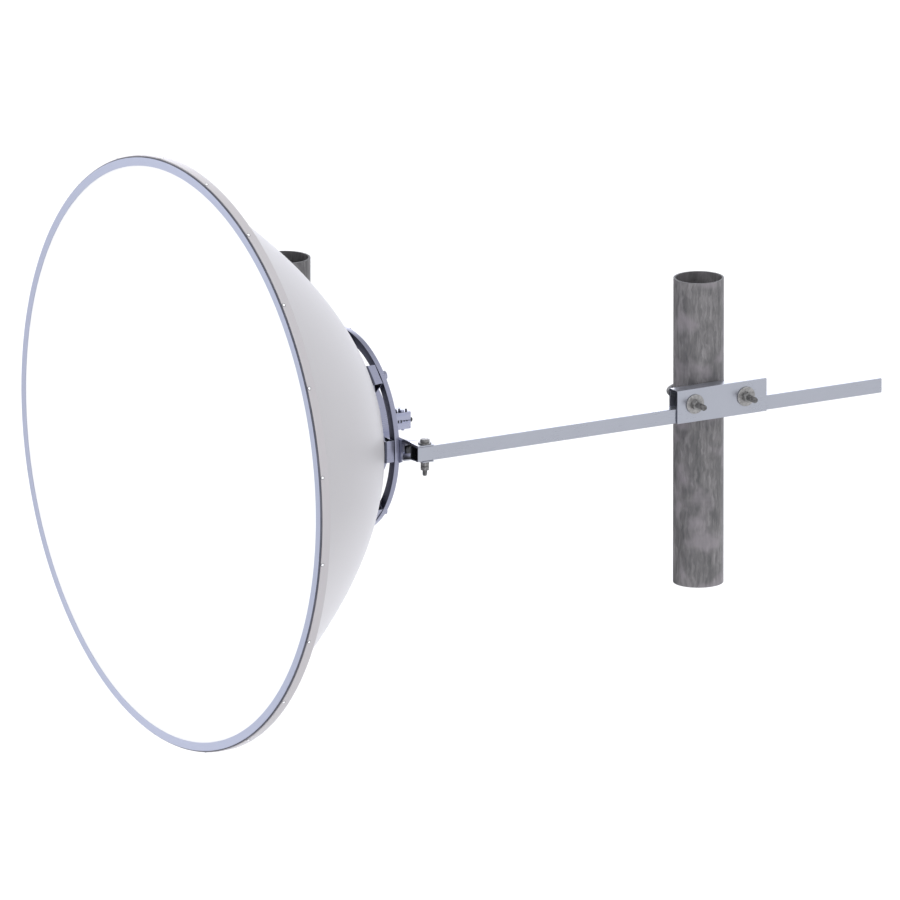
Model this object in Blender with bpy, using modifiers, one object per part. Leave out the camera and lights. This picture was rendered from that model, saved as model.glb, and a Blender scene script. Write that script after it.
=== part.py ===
"""Parabolic dish antenna, 1.2 m across, on two pipe stubs.

A deep spun reflector with a flat front cover stands on a steel back ring. The ring hangs on a
vertical main pipe through two clamped arms, and a square strut steadies it from a second pipe.
Metres, +Z up. The dish looks along -Y, and the strut runs back along +Y.
The world origin lies on the lower end face of the main pipe, which holds the whole object.
"""

import math

import bmesh
import bpy
from mathutils import Quaternion

# Dish, all heights counted backwards along +Y from the front plane of the cover's ring
RIM_RADIUS = 0.600
FOCAL_LENGTH = 0.195
VERTEX_Y = 0.429
REFLECTOR_SHEET = 0.0025
REFLECTOR_HOLE = 0.030
RIM_FLANGE_Y = 0.022
BAND_SHEET = 0.002
BAND_FRONT_Y = 0.0048
BAND_BACK_Y = 0.0224
BAND_LIP_INNER = 0.588
RING_OUTER, RING_INNER, RING_SHEET = 0.596, 0.580, 0.0012
GASKET_OUTER, GASKET_INNER = 0.5975, 0.590
COVER_FRONT_Y, COVER_BACK_Y = 0.0015, 0.0045

# Hub and feed behind the dish
HUB_RADIUS, HUB_WALL = 0.116, 0.004
HUB_BACK_Y, HUB_SHEET = 0.4425, 0.0035
FEED_TUBE_RADIUS, FEED_TUBE_END_Y = 0.0195, 0.487
FEED_CENTRE_Z = 0.003
FEED_FLANGE_SIDE, FEED_FLANGE_SHEET = 0.048, 0.010
FEED_FLANGE_CORNER, FEED_BLOCK_CORNER = 0.0015, 0.001
FEED_BLOCK_WIDTH, FEED_BLOCK_HEIGHT, FEED_BLOCK_END_Y = 0.043, 0.035, 0.544

# Back ring and the eight hollow wedges that carry the reflector on it
BACK_RING_OUTER, BACK_RING_INNER = 0.208, 0.188
BACK_RING_FRONT_Y, BACK_RING_BACK_Y = 0.3985, 0.409
SPACER_COUNT, SPACER_LENGTH, SPACER_WALL = 8, 0.044, 0.0025
SPACER_OUTER, SPACER_INNER = 0.2065, 0.166
SPACER_SEAT = 0.0008
RING_BOLT_RADIUS = 0.196

# Strut with its bracket on the ring
STRUT_SIDE, STRUT_WALL = 0.030, 0.0025
STRUT_X, STRUT_START_Y, STRUT_END_Y = 0.241, 0.4235, 1.500
BRACKET_SHEET, BRACKET_HALF_HEIGHT = 0.0025, 0.0255
BRACKET_LEFT, BRACKET_RIGHT, BRACKET_END_Y = 0.178, 0.256, 0.460
BRACKET_WEB_RIGHT, BRACKET_CHAMFER = 0.2155, 0.0025
UPPER_NOSE_Y = 0.4232
LOWER_NOSE_Y, LOWER_NOSE_END_Y = 0.4265, 0.435
BRACKET_HEEL_STEP, BRACKET_EAR_LEFT = 0.001, 0.2235
FOOT_CORNER_X, FOOT_CORNER_Z = 0.206, 0.0215
SHOE_SEGMENTS, SHOE_LIP_RIGHT = 10, 0.2277
PIVOT_Y = 0.448

# Pipes
PIPE_RADIUS, PIPE_WALL = 0.0508, 0.004
PIPE_TOP_Z, PIPE_FOOT_Z = 0.256, -0.374
MAIN_PIPE_X, MAIN_PIPE_Y = -0.381, 0.487
STRUT_PIPE_X, STRUT_PIPE_Y = 0.1749, 1.121

# Clamp that holds the strut on its pipe
CLAMP_START_Y, CLAMP_END_Y = 1.0215, 1.229
CLAMP_TOP_Z, CLAMP_SHEET, CLAMP_FLANGE_X, CLAMP_BEND = 0.0525, 0.004, 0.228, 0.0025
STRUT_U_BOLT_Z = 0.0215

# Frame between the main pipe and the back ring
FRAME_X, FRAME_WIDTH, FRAME_DEPTH, FRAME_HEIGHT, FRAME_SHEET = -0.1386, 0.042, 0.045, 0.350, 0.005
FRAME_NOTCH_Z = 0.085
ARM_Y, ARM_Z, ARM_SIDE, ARM_WALL, ARM_PLATE = 0.4345, 0.072, 0.036, 0.003, 0.006
ARM_INNER_PLATE_WIDTH, ARM_INNER_PLATE_HEIGHT = 0.044, 0.084
ARM_OUTER_PLATE_WIDTH, ARM_OUTER_PLATE_HEIGHT = 0.111, 0.050
SADDLE_WEB_X, SADDLE_SHEET, SADDLE_FLANGE_X = -0.304, 0.005, -0.352
SADDLE_LENGTH, SADDLE_LOW_Z, SADDLE_HIGH_Z = 0.152, 0.046, 0.132
MAIN_U_BOLT_Z = 0.112

# Fasteners
U_BOLT_ROD, U_BOLT_LEG = 0.006, 0.0592
U_BOLT_STRUT_TIP, U_BOLT_MAIN_TIP, RING_BOLT_TIP = 0.040, 0.034, 0.025
M12_FLATS, M12_NUT = 0.019, 0.010
M10_ROD, M10_FLATS, M10_NUT, M10_HEAD, M10_LOCK_NUT = 0.005, 0.017, 0.010, 0.0068, 0.008
PIVOT_WASHER_RADIUS, CLAMP_WASHER_RADIUS = 0.0135, 0.020
THIN_WASHER, THICK_WASHER = 0.002, 0.003
PIVOT_TIP_Z = -0.0485
BOLT_CLEARANCE = 0.0005
DRAIN_RADIUS = 0.006

GAP = 0.0003
CUT_MARGIN = 0.002
DEEP_CUT = 0.010
ROUND_SEGMENTS, PIPE_SEGMENTS, WASHER_SEGMENTS, SMALL_SEGMENTS = 72, 40, 24, 16
QUARTER = math.pi / 2

# Turns that send a shape drawn in XY and extruded along Z to another direction
ALONG_X = (QUARTER, 0, QUARTER)
ALONG_Y = (QUARTER, 0, 0)
TURNED_ALONG_X = (0, QUARTER, 0)
TURNED_ALONG_Y = (-QUARTER, 0, 0)


def clear_scene():
    for old in list(bpy.data.objects):
        bpy.data.objects.remove(old, do_unlink=True)


def new_collection(name):
    made = bpy.data.collections.new(name)
    bpy.context.scene.collection.children.link(made)
    return made


def new_material(name, colour, roughness, metallic):
    made = bpy.data.materials.new(name)
    made.use_nodes = True
    shader = made.node_tree.nodes["Principled BSDF"]
    shader.inputs["Base Color"].default_value = (*colour, 1)
    shader.inputs["Roughness"].default_value = roughness
    shader.inputs["Metallic"].default_value = metallic
    made.diffuse_color = (*colour, 1)
    return made


clear_scene()
ANTENNA = new_collection("parabolic_dish_antenna")
CUTTERS = new_collection("cutters")
CUTTERS.hide_render = True

COVER_WHITE = ("cover_white", (0.93, 0.93, 0.94), 0.55, 0.0)
REFLECTOR_PAINT = ("reflector_paint", (0.86, 0.85, 0.86), 0.40, 0.0)
RING_PAINT = ("ring_paint", (0.52, 0.55, 0.63), 0.40, 0.0)
BAND_PAINT = ("band_paint", (0.55, 0.52, 0.54), 0.40, 0.0)
GASKET_RUBBER = ("gasket_rubber", (0.05, 0.05, 0.06), 0.80, 0.0)
COATED_STEEL = ("coated_steel", (0.42, 0.44, 0.50), 0.35, 0.9)
BOLT_ZINC = ("bolt_zinc", (0.38, 0.38, 0.35), 0.40, 0.9)
PIPE_GALVANISED = ("pipe_galvanised", (0.22, 0.21, 0.22), 0.55, 0.7)

# Every piece hangs on this empty, which puts the foot of the main pipe at the world origin.
dish_centre = bpy.data.objects.new("dish_centre", None)
foot_wall = PIPE_RADIUS - PIPE_WALL / 2
dish_centre.location = (-MAIN_PIPE_X, foot_wall - MAIN_PIPE_Y, -PIPE_FOOT_Z)
ANTENNA.objects.link(dish_centre)


def add_object(name, data, finish, location=(0, 0, 0), turn=(0, 0, 0)):
    """Links a mesh or curve as a piece of the antenna, or as a cutter where finish is None."""
    made = bpy.data.objects.new(name, data)
    made.parent = dish_centre
    made.location = location
    made.rotation_euler = turn
    if finish:
        colour_name, colour, roughness, metallic = finish
        data.materials.append(new_material(f"{name}_{colour_name}", colour, roughness, metallic))
        ANTENNA.objects.link(made)
    else:
        made.hide_render = True
        made.display_type = "WIRE"
        CUTTERS.objects.link(made)
    return made


def turned(name, profile, finish, segments, location=(0, 0, 0), turn=(0, 0, 0), closed=True):
    """A profile of (radius, height) points turned round Z, running down its outer side."""
    mesh = bpy.data.meshes.new(name)
    edges = [(i, i + 1) for i in range(len(profile) - 1)]
    if closed:
        edges.append((len(profile) - 1, 0))
    mesh.from_pydata([(radius, 0, height) for radius, height in profile], edges, [])
    made = add_object(name, mesh, finish, location, turn)
    screw = made.modifiers.new("Turn", "SCREW")
    screw.steps = screw.render_steps = segments
    screw.use_merge_vertices = True
    screw.merge_threshold = 0.00005
    screw.use_smooth_shade = False
    return made


def tube(name, outer, inner, low, high, finish, segments, location=(0, 0, 0), turn=(0, 0, 0)):
    """A round tube, a flat ring or, with no inner radius, a disc, from low to high along its axis."""
    if inner:
        profile = [(outer, high), (outer, low), (inner, low), (inner, high)]
    else:
        profile = [(0, high), (outer, high), (outer, low), (0, low)]
    return turned(name, profile, finish, segments, location, turn, closed=bool(inner))


def extruded(name, outlines, length, finish, location=(0, 0, 0), turn=(0, 0, 0)):
    """One or more outlines, the later ones as holes, extruded evenly about their plane."""
    curve = bpy.data.curves.new(name, "CURVE")
    curve.dimensions = "2D"
    curve.fill_mode = "BOTH"
    curve.extrude = length / 2
    for outline in outlines:
        spline = curve.splines.new("POLY")
        spline.points.add(len(outline) - 1)
        spline.use_cyclic_u = True
        for point, (x, y) in zip(spline.points, outline):
            point.co = (x, y, 0, 1)
    drawn = bpy.data.objects.new(name, curve)
    CUTTERS.objects.link(drawn)
    bpy.context.view_layer.update()
    mesh = bpy.data.meshes.new_from_object(drawn.evaluated_get(bpy.context.evaluated_depsgraph_get()))
    bpy.data.objects.remove(drawn)
    bpy.data.curves.remove(curve)
    weld = bmesh.new()
    weld.from_mesh(mesh)
    bmesh.ops.remove_doubles(weld, verts=weld.verts, dist=0.00001)
    bmesh.ops.recalc_face_normals(weld, faces=weld.faces)
    weld.to_mesh(mesh)
    weld.free()
    mesh.materials.clear()
    return add_object(name, mesh, finish, location, turn)


def box(name, low, high, finish):
    """A box between two corners."""
    mesh = bpy.data.meshes.new(name)
    shape = bmesh.new()
    bmesh.ops.create_cube(shape, size=1)
    for vertex in shape.verts:
        for i in range(3):
            vertex.co[i] *= high[i] - low[i]
    shape.to_mesh(mesh)
    shape.free()
    centre = [(a + b) / 2 for a, b in zip(low, high)]
    return add_object(name, mesh, finish, centre)


def hexagon(name, flats, low, high, finish, location, turn=(0, 0, 0)):
    """A hexagonal prism, as on a nut or a bolt's head."""
    mesh = bpy.data.meshes.new(name)
    shape = bmesh.new()
    corner = flats / math.sqrt(3)
    bmesh.ops.create_cone(
        shape, cap_ends=True, segments=6, radius1=corner, radius2=corner, depth=high - low
    )
    bmesh.ops.translate(shape, verts=shape.verts, vec=(0, 0, (low + high) / 2))
    shape.to_mesh(mesh)
    shape.free()
    return add_object(name, mesh, finish, location, turn)


def combine(piece, other, operation):
    """Cuts the other object from the piece, or joins it on."""
    step = piece.modifiers.new(other.name, "BOOLEAN")
    step.operation = operation
    step.solver = "EXACT"
    step.object = other


def drill(piece, name, radius, low, high, location, turn=(0, 0, 0)):
    """A round hole through the piece, along the turned Z axis at location."""
    combine(piece, tube(name, radius, 0, low, high, None, SMALL_SEGMENTS, location, turn), "DIFFERENCE")


def round_edges(piece, width, segments=2):
    bevel = piece.modifiers.new("Rounded edges", "BEVEL")
    bevel.width = width
    bevel.segments = segments
    bevel.limit_method = "ANGLE"


def rectangle(x0, x1, y0, y1):
    return [(x0, y0), (x1, y0), (x1, y1), (x0, y1)]


def dish_y(radius):
    """Height of the reflector's outer face at a radius."""
    return VERTEX_Y - radius**2 / (4 * FOCAL_LENGTH)


def dish_radius(y):
    """Radius of the reflector's outer face at a height."""
    return math.sqrt(4 * FOCAL_LENGTH * (VERTEX_Y - y))


def add_rim():
    """Cover sheet, its front ring, the gasket behind the ring, and the band round the rim."""
    place = {"segments": ROUND_SEGMENTS, "turn": TURNED_ALONG_Y}
    tube("cover_sheet", GASKET_INNER - GAP, 0, COVER_FRONT_Y, COVER_BACK_Y, COVER_WHITE, **place)
    tube("cover_ring", RING_OUTER, RING_INNER, 0, RING_SHEET, RING_PAINT, **place)
    tube(
        "gasket", GASKET_OUTER, GASKET_INNER, COVER_FRONT_Y, COVER_BACK_Y, GASKET_RUBBER, **place
    )
    inside = RIM_RADIUS - BAND_SHEET
    band = [
        (RIM_RADIUS, BAND_BACK_Y),
        (RIM_RADIUS, BAND_FRONT_Y),
        (BAND_LIP_INNER, BAND_FRONT_Y),
        (BAND_LIP_INNER, BAND_FRONT_Y + BAND_SHEET),
        (inside, BAND_FRONT_Y + BAND_SHEET),
        (inside, BAND_BACK_Y),
    ]
    turned("rim_band", band, BAND_PAINT, **place)


def add_reflector():
    """Spun dish from the feed's hole to the rim, and the flat flange round it in the band."""
    flange_front = RIM_FLANGE_Y - REFLECTOR_SHEET
    mouth = dish_radius(flange_front)
    steps = 10
    radii = [REFLECTOR_HOLE + (mouth - REFLECTOR_HOLE) * i / steps for i in range(steps + 1)]
    profile = [(radius, dish_y(radius)) for radius in radii]
    reflector = turned(
        "reflector", profile, REFLECTOR_PAINT, ROUND_SEGMENTS, turn=TURNED_ALONG_Y, closed=False
    )
    sheet = reflector.modifiers.new("Sheet", "SOLIDIFY")
    sheet.thickness = REFLECTOR_SHEET
    sheet.offset = -1
    sheet.use_even_offset = True
    outer = RIM_RADIUS - BAND_SHEET - GAP
    flange = [
        (outer, RIM_FLANGE_Y),
        (outer, flange_front),
        (mouth + 2 * GAP, flange_front),
        (dish_radius(RIM_FLANGE_Y) + 2 * GAP, RIM_FLANGE_Y),
    ]
    turned("rim_flange", flange, REFLECTOR_PAINT, ROUND_SEGMENTS, turn=TURNED_ALONG_Y)


def add_hub_and_feed():
    """Hub cap on the reflector's back, and the feed's tube, flange and two-part block on it."""
    inner = HUB_RADIUS - HUB_WALL
    ceiling = HUB_BACK_Y - HUB_SHEET
    cap = [
        (0, HUB_BACK_Y),
        (HUB_RADIUS, HUB_BACK_Y),
        (HUB_RADIUS, dish_y(HUB_RADIUS) + 2 * GAP),
        (inner, dish_y(inner) + 2 * GAP),
        (inner, ceiling),
        (0, ceiling),
    ]
    turned("hub_cap", cap, COATED_STEEL, ROUND_SEGMENTS, turn=TURNED_ALONG_Y, closed=False)
    tube(
        "feed_tube", FEED_TUBE_RADIUS, 0, HUB_BACK_Y + GAP, FEED_TUBE_END_Y - GAP, COATED_STEEL,
        PIPE_SEGMENTS, turn=TURNED_ALONG_Y,
    )
    half = FEED_FLANGE_SIDE / 2
    flange_end = FEED_TUBE_END_Y + FEED_FLANGE_SHEET
    flange = box(
        "feed_flange",
        (-half, FEED_TUBE_END_Y, FEED_CENTRE_Z - half),
        (half, flange_end, FEED_CENTRE_Z + half),
        COATED_STEEL,
    )
    round_edges(flange, FEED_FLANGE_CORNER)
    half = FEED_BLOCK_WIDTH / 2
    height = FEED_BLOCK_HEIGHT / 2
    halves = (
        ("feed_block_lower", FEED_CENTRE_Z - height, FEED_CENTRE_Z - GAP),
        ("feed_block_upper", FEED_CENTRE_Z + GAP, FEED_CENTRE_Z + height),
    )
    for name, low, high in halves:
        block = box(
            name, (-half, flange_end + GAP, low), (half, FEED_BLOCK_END_Y, high), COATED_STEEL
        )
        round_edges(block, FEED_BLOCK_CORNER)


def add_back_ring():
    """Flat steel ring with one bolt hole at each wedge, and the eight hollow wedges."""
    ring = tube(
        "back_ring", BACK_RING_OUTER, BACK_RING_INNER, BACK_RING_FRONT_Y, BACK_RING_BACK_Y,
        COATED_STEEL, ROUND_SEGMENTS, turn=TURNED_ALONG_Y,
    )
    back = BACK_RING_FRONT_Y - GAP
    outer = [
        (SPACER_INNER, dish_y(SPACER_INNER) + SPACER_SEAT),
        (SPACER_OUTER, dish_y(SPACER_OUTER) + SPACER_SEAT),
        (SPACER_OUTER, back),
        (SPACER_INNER, back),
    ]
    hollow_inner = SPACER_INNER + 3 * SPACER_WALL
    hollow_outer = SPACER_OUTER - SPACER_WALL
    hollow = [
        (hollow_inner, dish_y(hollow_inner) + SPACER_SEAT + SPACER_WALL),
        (hollow_outer, dish_y(hollow_outer) + SPACER_SEAT + SPACER_WALL),
        (hollow_outer, back - SPACER_WALL),
        (hollow_inner, back - SPACER_WALL),
    ]
    for number in range(SPACER_COUNT):
        angle = 2 * math.pi * number / SPACER_COUNT
        spacer = extruded(f"spacer_{number + 1}", [outer, hollow], SPACER_LENGTH, COATED_STEEL)
        # The wedges stand round the dish's axis, the first one on the strut's side.
        spacer.rotation_mode = "QUATERNION"
        spacer.rotation_quaternion = spacer_turn(angle)
        place = (RING_BOLT_RADIUS * math.cos(angle), 0, RING_BOLT_RADIUS * math.sin(angle))
        drill(
            ring, f"ring_hole_{number + 1}", M10_ROD + BOLT_CLEARANCE,
            BACK_RING_FRONT_Y - CUT_MARGIN, BACK_RING_BACK_Y + CUT_MARGIN, place,
            TURNED_ALONG_Y,
        )


def spacer_turn(angle):
    """Sends x to the direction at this angle from +X towards +Z, and y to +Y."""
    return Quaternion((0, 1, 0), -angle)


def add_strut_bracket():
    """Bracket on the ring's back: a foot and upper ear of bent sheet, and a rounded shoe."""
    half_sheet = BRACKET_SHEET / 2
    web_y = BACK_RING_BACK_Y + GAP + half_sheet
    ear_z = STRUT_SIDE / 2 + GAP + half_sheet
    corner_z = BRACKET_HALF_HEIGHT - half_sheet
    path = [
        (BRACKET_END_Y, ear_z),
        (STRUT_START_Y, ear_z),
        (web_y + BRACKET_CHAMFER, corner_z),
        (web_y, corner_z - BRACKET_CHAMFER),
        (web_y, -BRACKET_HALF_HEIGHT),
    ]
    mesh = bpy.data.meshes.new("strut_bracket")
    shape = bmesh.new()
    rows = [
        [shape.verts.new((x, y, z)) for y, z in path] for x in (BRACKET_LEFT, BRACKET_RIGHT)
    ]
    for i in range(len(path) - 1):
        shape.faces.new((rows[0][i], rows[0][i + 1], rows[1][i + 1], rows[1][i]))
    shape.to_mesh(mesh)
    shape.free()
    bracket = add_object("strut_bracket", mesh, COATED_STEEL)
    sheet = bracket.modifiers.new("Sheet", "SOLIDIFY")
    sheet.thickness = BRACKET_SHEET
    sheet.offset = 0
    sheet.use_even_offset = True

    front = BACK_RING_BACK_Y + GAP
    right = BRACKET_RIGHT + DEEP_CUT
    upper_nose = [
        (BRACKET_WEB_RIGHT, front),
        (BRACKET_WEB_RIGHT, front - DEEP_CUT),
        (right, front - DEEP_CUT),
        (right, UPPER_NOSE_Y),
        (BRACKET_RIGHT, UPPER_NOSE_Y),
    ]
    foot_corner = [
        (FOOT_CORNER_X, -BRACKET_HALF_HEIGHT - CUT_MARGIN),
        (BRACKET_RIGHT, -BRACKET_HALF_HEIGHT - CUT_MARGIN),
        (BRACKET_RIGHT, 0),
        (BRACKET_WEB_RIGHT, 0),
        (BRACKET_WEB_RIGHT, -FOOT_CORNER_Z),
        (FOOT_CORNER_X, -BRACKET_HALF_HEIGHT),
    ]
    depth = 2 * (BRACKET_END_Y - front)
    combine(bracket, extruded("upper_nose_cut", [upper_nose], 2 * right, None), "DIFFERENCE")
    combine(
        bracket, extruded("foot_corner_cut", [foot_corner], depth, None, (0, front, 0), ALONG_Y),
        "DIFFERENCE",
    )
    combine(bracket, bracket_shoe(front + half_sheet, ear_z), "UNION")

    left = BRACKET_LEFT - DEEP_CUT
    heel_start = front + BRACKET_SHEET + BRACKET_HEEL_STEP
    heel = [
        (left, heel_start),
        (BRACKET_LEFT - BRACKET_HEEL_STEP, heel_start),
        (BRACKET_EAR_LEFT, BRACKET_END_Y - CUT_MARGIN),
        (BRACKET_EAR_LEFT, BRACKET_END_Y + DEEP_CUT),
        (left, BRACKET_END_Y + DEEP_CUT),
    ]
    combine(bracket, extruded("heel_cut", [heel], 2 * right, None), "DIFFERENCE")
    hole = M10_ROD + BOLT_CLEARANCE
    drill(
        bracket, "bracket_pivot_hole", hole, -BRACKET_HALF_HEIGHT, BRACKET_HALF_HEIGHT,
        (STRUT_X, PIVOT_Y, 0),
    )
    drill(
        bracket, "bracket_ring_hole", hole, front - CUT_MARGIN,
        front + BRACKET_SHEET + CUT_MARGIN, (RING_BOLT_RADIUS, 0, 0), TURNED_ALONG_Y,
    )
    add_ring_bolt(front + BRACKET_SHEET)
    add_pivot_bolt(STRUT_SIDE / 2 + GAP + BRACKET_SHEET)


def bracket_shoe(start_y, ear_z):
    """Sheet bent half round beside the strut, with the lower ear and a lip under the upper one."""
    half_sheet = BRACKET_SHEET / 2
    outline = []
    for radius, steps, lower, upper in (
        (ear_z + half_sheet, range(SHOE_SEGMENTS + 1), BRACKET_RIGHT, None),
        (ear_z - half_sheet, reversed(range(SHOE_SEGMENTS + 1)), None, SHOE_LIP_RIGHT),
    ):
        bend = [
            (
                BRACKET_EAR_LEFT - radius * math.sin(math.pi * step / SHOE_SEGMENTS),
                -radius * math.cos(math.pi * step / SHOE_SEGMENTS),
            )
            for step in steps
        ]
        if lower:
            outline += [(lower, -radius), *bend, (SHOE_LIP_RIGHT, radius)]
        else:
            outline += [(upper, radius), *bend, (BRACKET_RIGHT, -radius)]
    length = BRACKET_END_Y - start_y
    shoe = extruded(
        "bracket_shoe", [outline], length, None, (0, start_y + length / 2, 0), ALONG_Y
    )
    right = BRACKET_RIGHT + DEEP_CUT
    nose = [
        (BRACKET_EAR_LEFT, start_y - DEEP_CUT),
        (right, start_y - DEEP_CUT),
        (right, LOWER_NOSE_END_Y),
        (BRACKET_RIGHT, LOWER_NOSE_END_Y),
        (BRACKET_EAR_LEFT, LOWER_NOSE_Y),
    ]
    cut_height = BRACKET_HALF_HEIGHT + DEEP_CUT
    combine(
        shoe, extruded("lower_nose_cut", [nose], cut_height, None, (0, 0, -cut_height / 2)),
        "DIFFERENCE",
    )
    return shoe


def add_ring_bolt(face_y):
    """Bolt through the ring and the bracket, its nut and thread standing out behind."""
    place = (RING_BOLT_RADIUS, 0, 0)
    start = BACK_RING_FRONT_Y + GAP
    stud = tube(
        "bracket_bolt", M10_ROD, 0, start, face_y + RING_BOLT_TIP, BOLT_ZINC, SMALL_SEGMENTS,
        place, TURNED_ALONG_Y,
    )
    low = face_y + GAP
    nut = hexagon(
        "bracket_bolt_nut", M10_FLATS, low, low + M10_NUT, None, place, TURNED_ALONG_Y
    )
    combine(stud, nut, "UNION")


def add_pivot_bolt(ear_z):
    """Upright bolt through the bracket's ears and the strut, with a nut and a lock nut."""
    place = (STRUT_X, PIVOT_Y, 0)
    low = ear_z + GAP
    bolt = tube(
        "pivot_bolt", M10_ROD, 0, PIVOT_TIP_Z, low + THIN_WASHER / 2, BOLT_ZINC, SMALL_SEGMENTS,
        place,
    )
    washer = tube(
        "pivot_bolt_washer", PIVOT_WASHER_RADIUS, 0, low, low + THIN_WASHER, None,
        WASHER_SEGMENTS, place,
    )
    head = hexagon(
        "pivot_bolt_head", M10_FLATS, low + THIN_WASHER / 2, low + THIN_WASHER + M10_HEAD, None,
        place, (0, 0, math.radians(15)),
    )
    combine(bolt, washer, "UNION")
    combine(bolt, head, "UNION")
    top = -ear_z - GAP
    add_nut("pivot_nut", M10_FLATS, M10_ROD, top - M10_NUT, top, place)
    top -= M10_NUT + GAP
    add_nut("pivot_lock_nut", M10_FLATS, M10_ROD, top - M10_LOCK_NUT, top, place)


def add_nut(name, flats, rod, low, high, place, turn=(0, 0, 0)):
    """A hexagon nut round a rod, with its bore open at both ends."""
    nut = hexagon(name, flats, low, high, BOLT_ZINC, place, turn)
    drill(nut, f"{name}_bore", rod + GAP, low - CUT_MARGIN, high + CUT_MARGIN, place, turn)


def add_strut():
    """Square tube, open at both ends, with a hole for the pivot bolt."""
    half = STRUT_SIDE / 2
    inside = half - STRUT_WALL
    strut = extruded(
        "strut",
        [rectangle(-half, half, -half, half), rectangle(-inside, inside, -inside, inside)],
        STRUT_END_Y - STRUT_START_Y,
        COATED_STEEL,
        (STRUT_X, (STRUT_START_Y + STRUT_END_Y) / 2, 0),
        ALONG_Y,
    )
    drill(
        strut, "strut_pivot_hole", M10_ROD + BOLT_CLEARANCE, -STRUT_SIDE, STRUT_SIDE,
        (STRUT_X, PIVOT_Y, 0),
    )


def add_pipe(name, x, y):
    tube(
        name, PIPE_RADIUS, PIPE_RADIUS - PIPE_WALL, PIPE_FOOT_Z, PIPE_TOP_Z, PIPE_GALVANISED,
        PIPE_SEGMENTS, (x, y, 0),
    )


def add_u_bolt(name, pipe_x, pipe_y, z, tip_x):
    """Round rod bent about a pipe, its two legs running out along +X."""
    centre_x = pipe_x - PIPE_RADIUS - 2 * GAP - U_BOLT_ROD + U_BOLT_LEG
    turns = 16
    path = [(tip_x, pipe_y - U_BOLT_LEG)]
    for i in range(turns + 1):
        angle = -QUARTER - math.pi * i / turns
        path.append((centre_x + U_BOLT_LEG * math.cos(angle), pipe_y + U_BOLT_LEG * math.sin(angle)))
    path.append((tip_x, pipe_y + U_BOLT_LEG))
    curve = bpy.data.curves.new(name, "CURVE")
    curve.dimensions = "3D"
    curve.bevel_depth = U_BOLT_ROD
    curve.bevel_resolution = 2
    curve.use_fill_caps = True
    spline = curve.splines.new("POLY")
    spline.points.add(len(path) - 1)
    for point, (x, y) in zip(spline.points, path):
        point.co = (x, y, z, 1)
    add_object(name, curve, BOLT_ZINC)


def add_strut_clamp():
    """Channel over the strut, held on the pipe by a U-bolt with big washers and nuts.

    Its front leg covers the strut, and its short back leg stands on it and bears on the pipe.
    """
    strut_face = STRUT_X + STRUT_SIDE / 2
    back = strut_face + GAP
    front = back + CLAMP_SHEET
    foot = STRUT_SIDE / 2 + GAP
    under = CLAMP_TOP_Z - CLAMP_SHEET
    leg_face = CLAMP_FLANGE_X + CLAMP_SHEET
    # The outer bend's middle point lies on a quarter circle from face to top.
    bend = CLAMP_BEND * (1 - math.sin(QUARTER / 2))
    outline = [
        (back, -foot),
        (front, -foot),
        (front, CLAMP_TOP_Z - CLAMP_BEND),
        (front - bend, CLAMP_TOP_Z - bend),
        (front - CLAMP_BEND, CLAMP_TOP_Z),
        (CLAMP_FLANGE_X, CLAMP_TOP_Z),
        (CLAMP_FLANGE_X, foot),
        (leg_face, foot),
        (leg_face, under),
        (back, under),
    ]
    clamp = extruded(
        "strut_clamp", [outline], CLAMP_END_Y - CLAMP_START_Y, COATED_STEEL,
        (0, (CLAMP_START_Y + CLAMP_END_Y) / 2, 0), ALONG_Y,
    )
    add_u_bolt("strut_u_bolt", STRUT_PIPE_X, STRUT_PIPE_Y, STRUT_U_BOLT_Z, front + U_BOLT_STRUT_TIP)
    for number, side in enumerate((-1, 1), 1):
        place = (0, STRUT_PIPE_Y + side * U_BOLT_LEG, STRUT_U_BOLT_Z)
        drill(
            clamp, f"clamp_hole_{number}", U_BOLT_ROD + BOLT_CLEARANCE,
            CLAMP_FLANGE_X - CUT_MARGIN, front + CUT_MARGIN, place, TURNED_ALONG_X,
        )
        low = front + GAP
        tube(
            f"clamp_washer_{number}", CLAMP_WASHER_RADIUS, U_BOLT_ROD + GAP, low,
            low + THICK_WASHER, BOLT_ZINC, WASHER_SEGMENTS, place, TURNED_ALONG_X,
        )
        low += THICK_WASHER + GAP
        add_nut(
            f"clamp_nut_{number}", M12_FLATS, U_BOLT_ROD, low, low + M12_NUT, place,
            TURNED_ALONG_X,
        )


def add_frame():
    """Channel on the left of the back ring, notched round the hub and bolted at two wedges."""
    half = FRAME_WIDTH / 2
    front = BACK_RING_BACK_Y + GAP
    inner = half - FRAME_SHEET
    outline = [
        (-half, front),
        (half, front),
        (half, front + FRAME_DEPTH),
        (inner, front + FRAME_DEPTH),
        (inner, front + FRAME_SHEET),
        (-inner, front + FRAME_SHEET),
        (-inner, front + FRAME_DEPTH),
        (-half, front + FRAME_DEPTH),
    ]
    channel = extruded("mount_channel", [outline], FRAME_HEIGHT, COATED_STEEL, (FRAME_X, 0, 0))
    notch = box(
        "hub_notch",
        (FRAME_X - inner + FRAME_SHEET, front - DEEP_CUT, -FRAME_NOTCH_Z),
        (FRAME_X + half + DEEP_CUT, front + FRAME_DEPTH + DEEP_CUT, FRAME_NOTCH_Z),
        None,
    )
    combine(channel, notch, "DIFFERENCE")
    for name, side in (("upper", 1), ("lower", -1)):
        drill(
            channel, f"{name}_channel_hole", M10_ROD + BOLT_CLEARANCE, front - CUT_MARGIN,
            front + FRAME_SHEET + CUT_MARGIN, (FRAME_X, 0, side * -FRAME_X), TURNED_ALONG_Y,
        )


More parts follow.
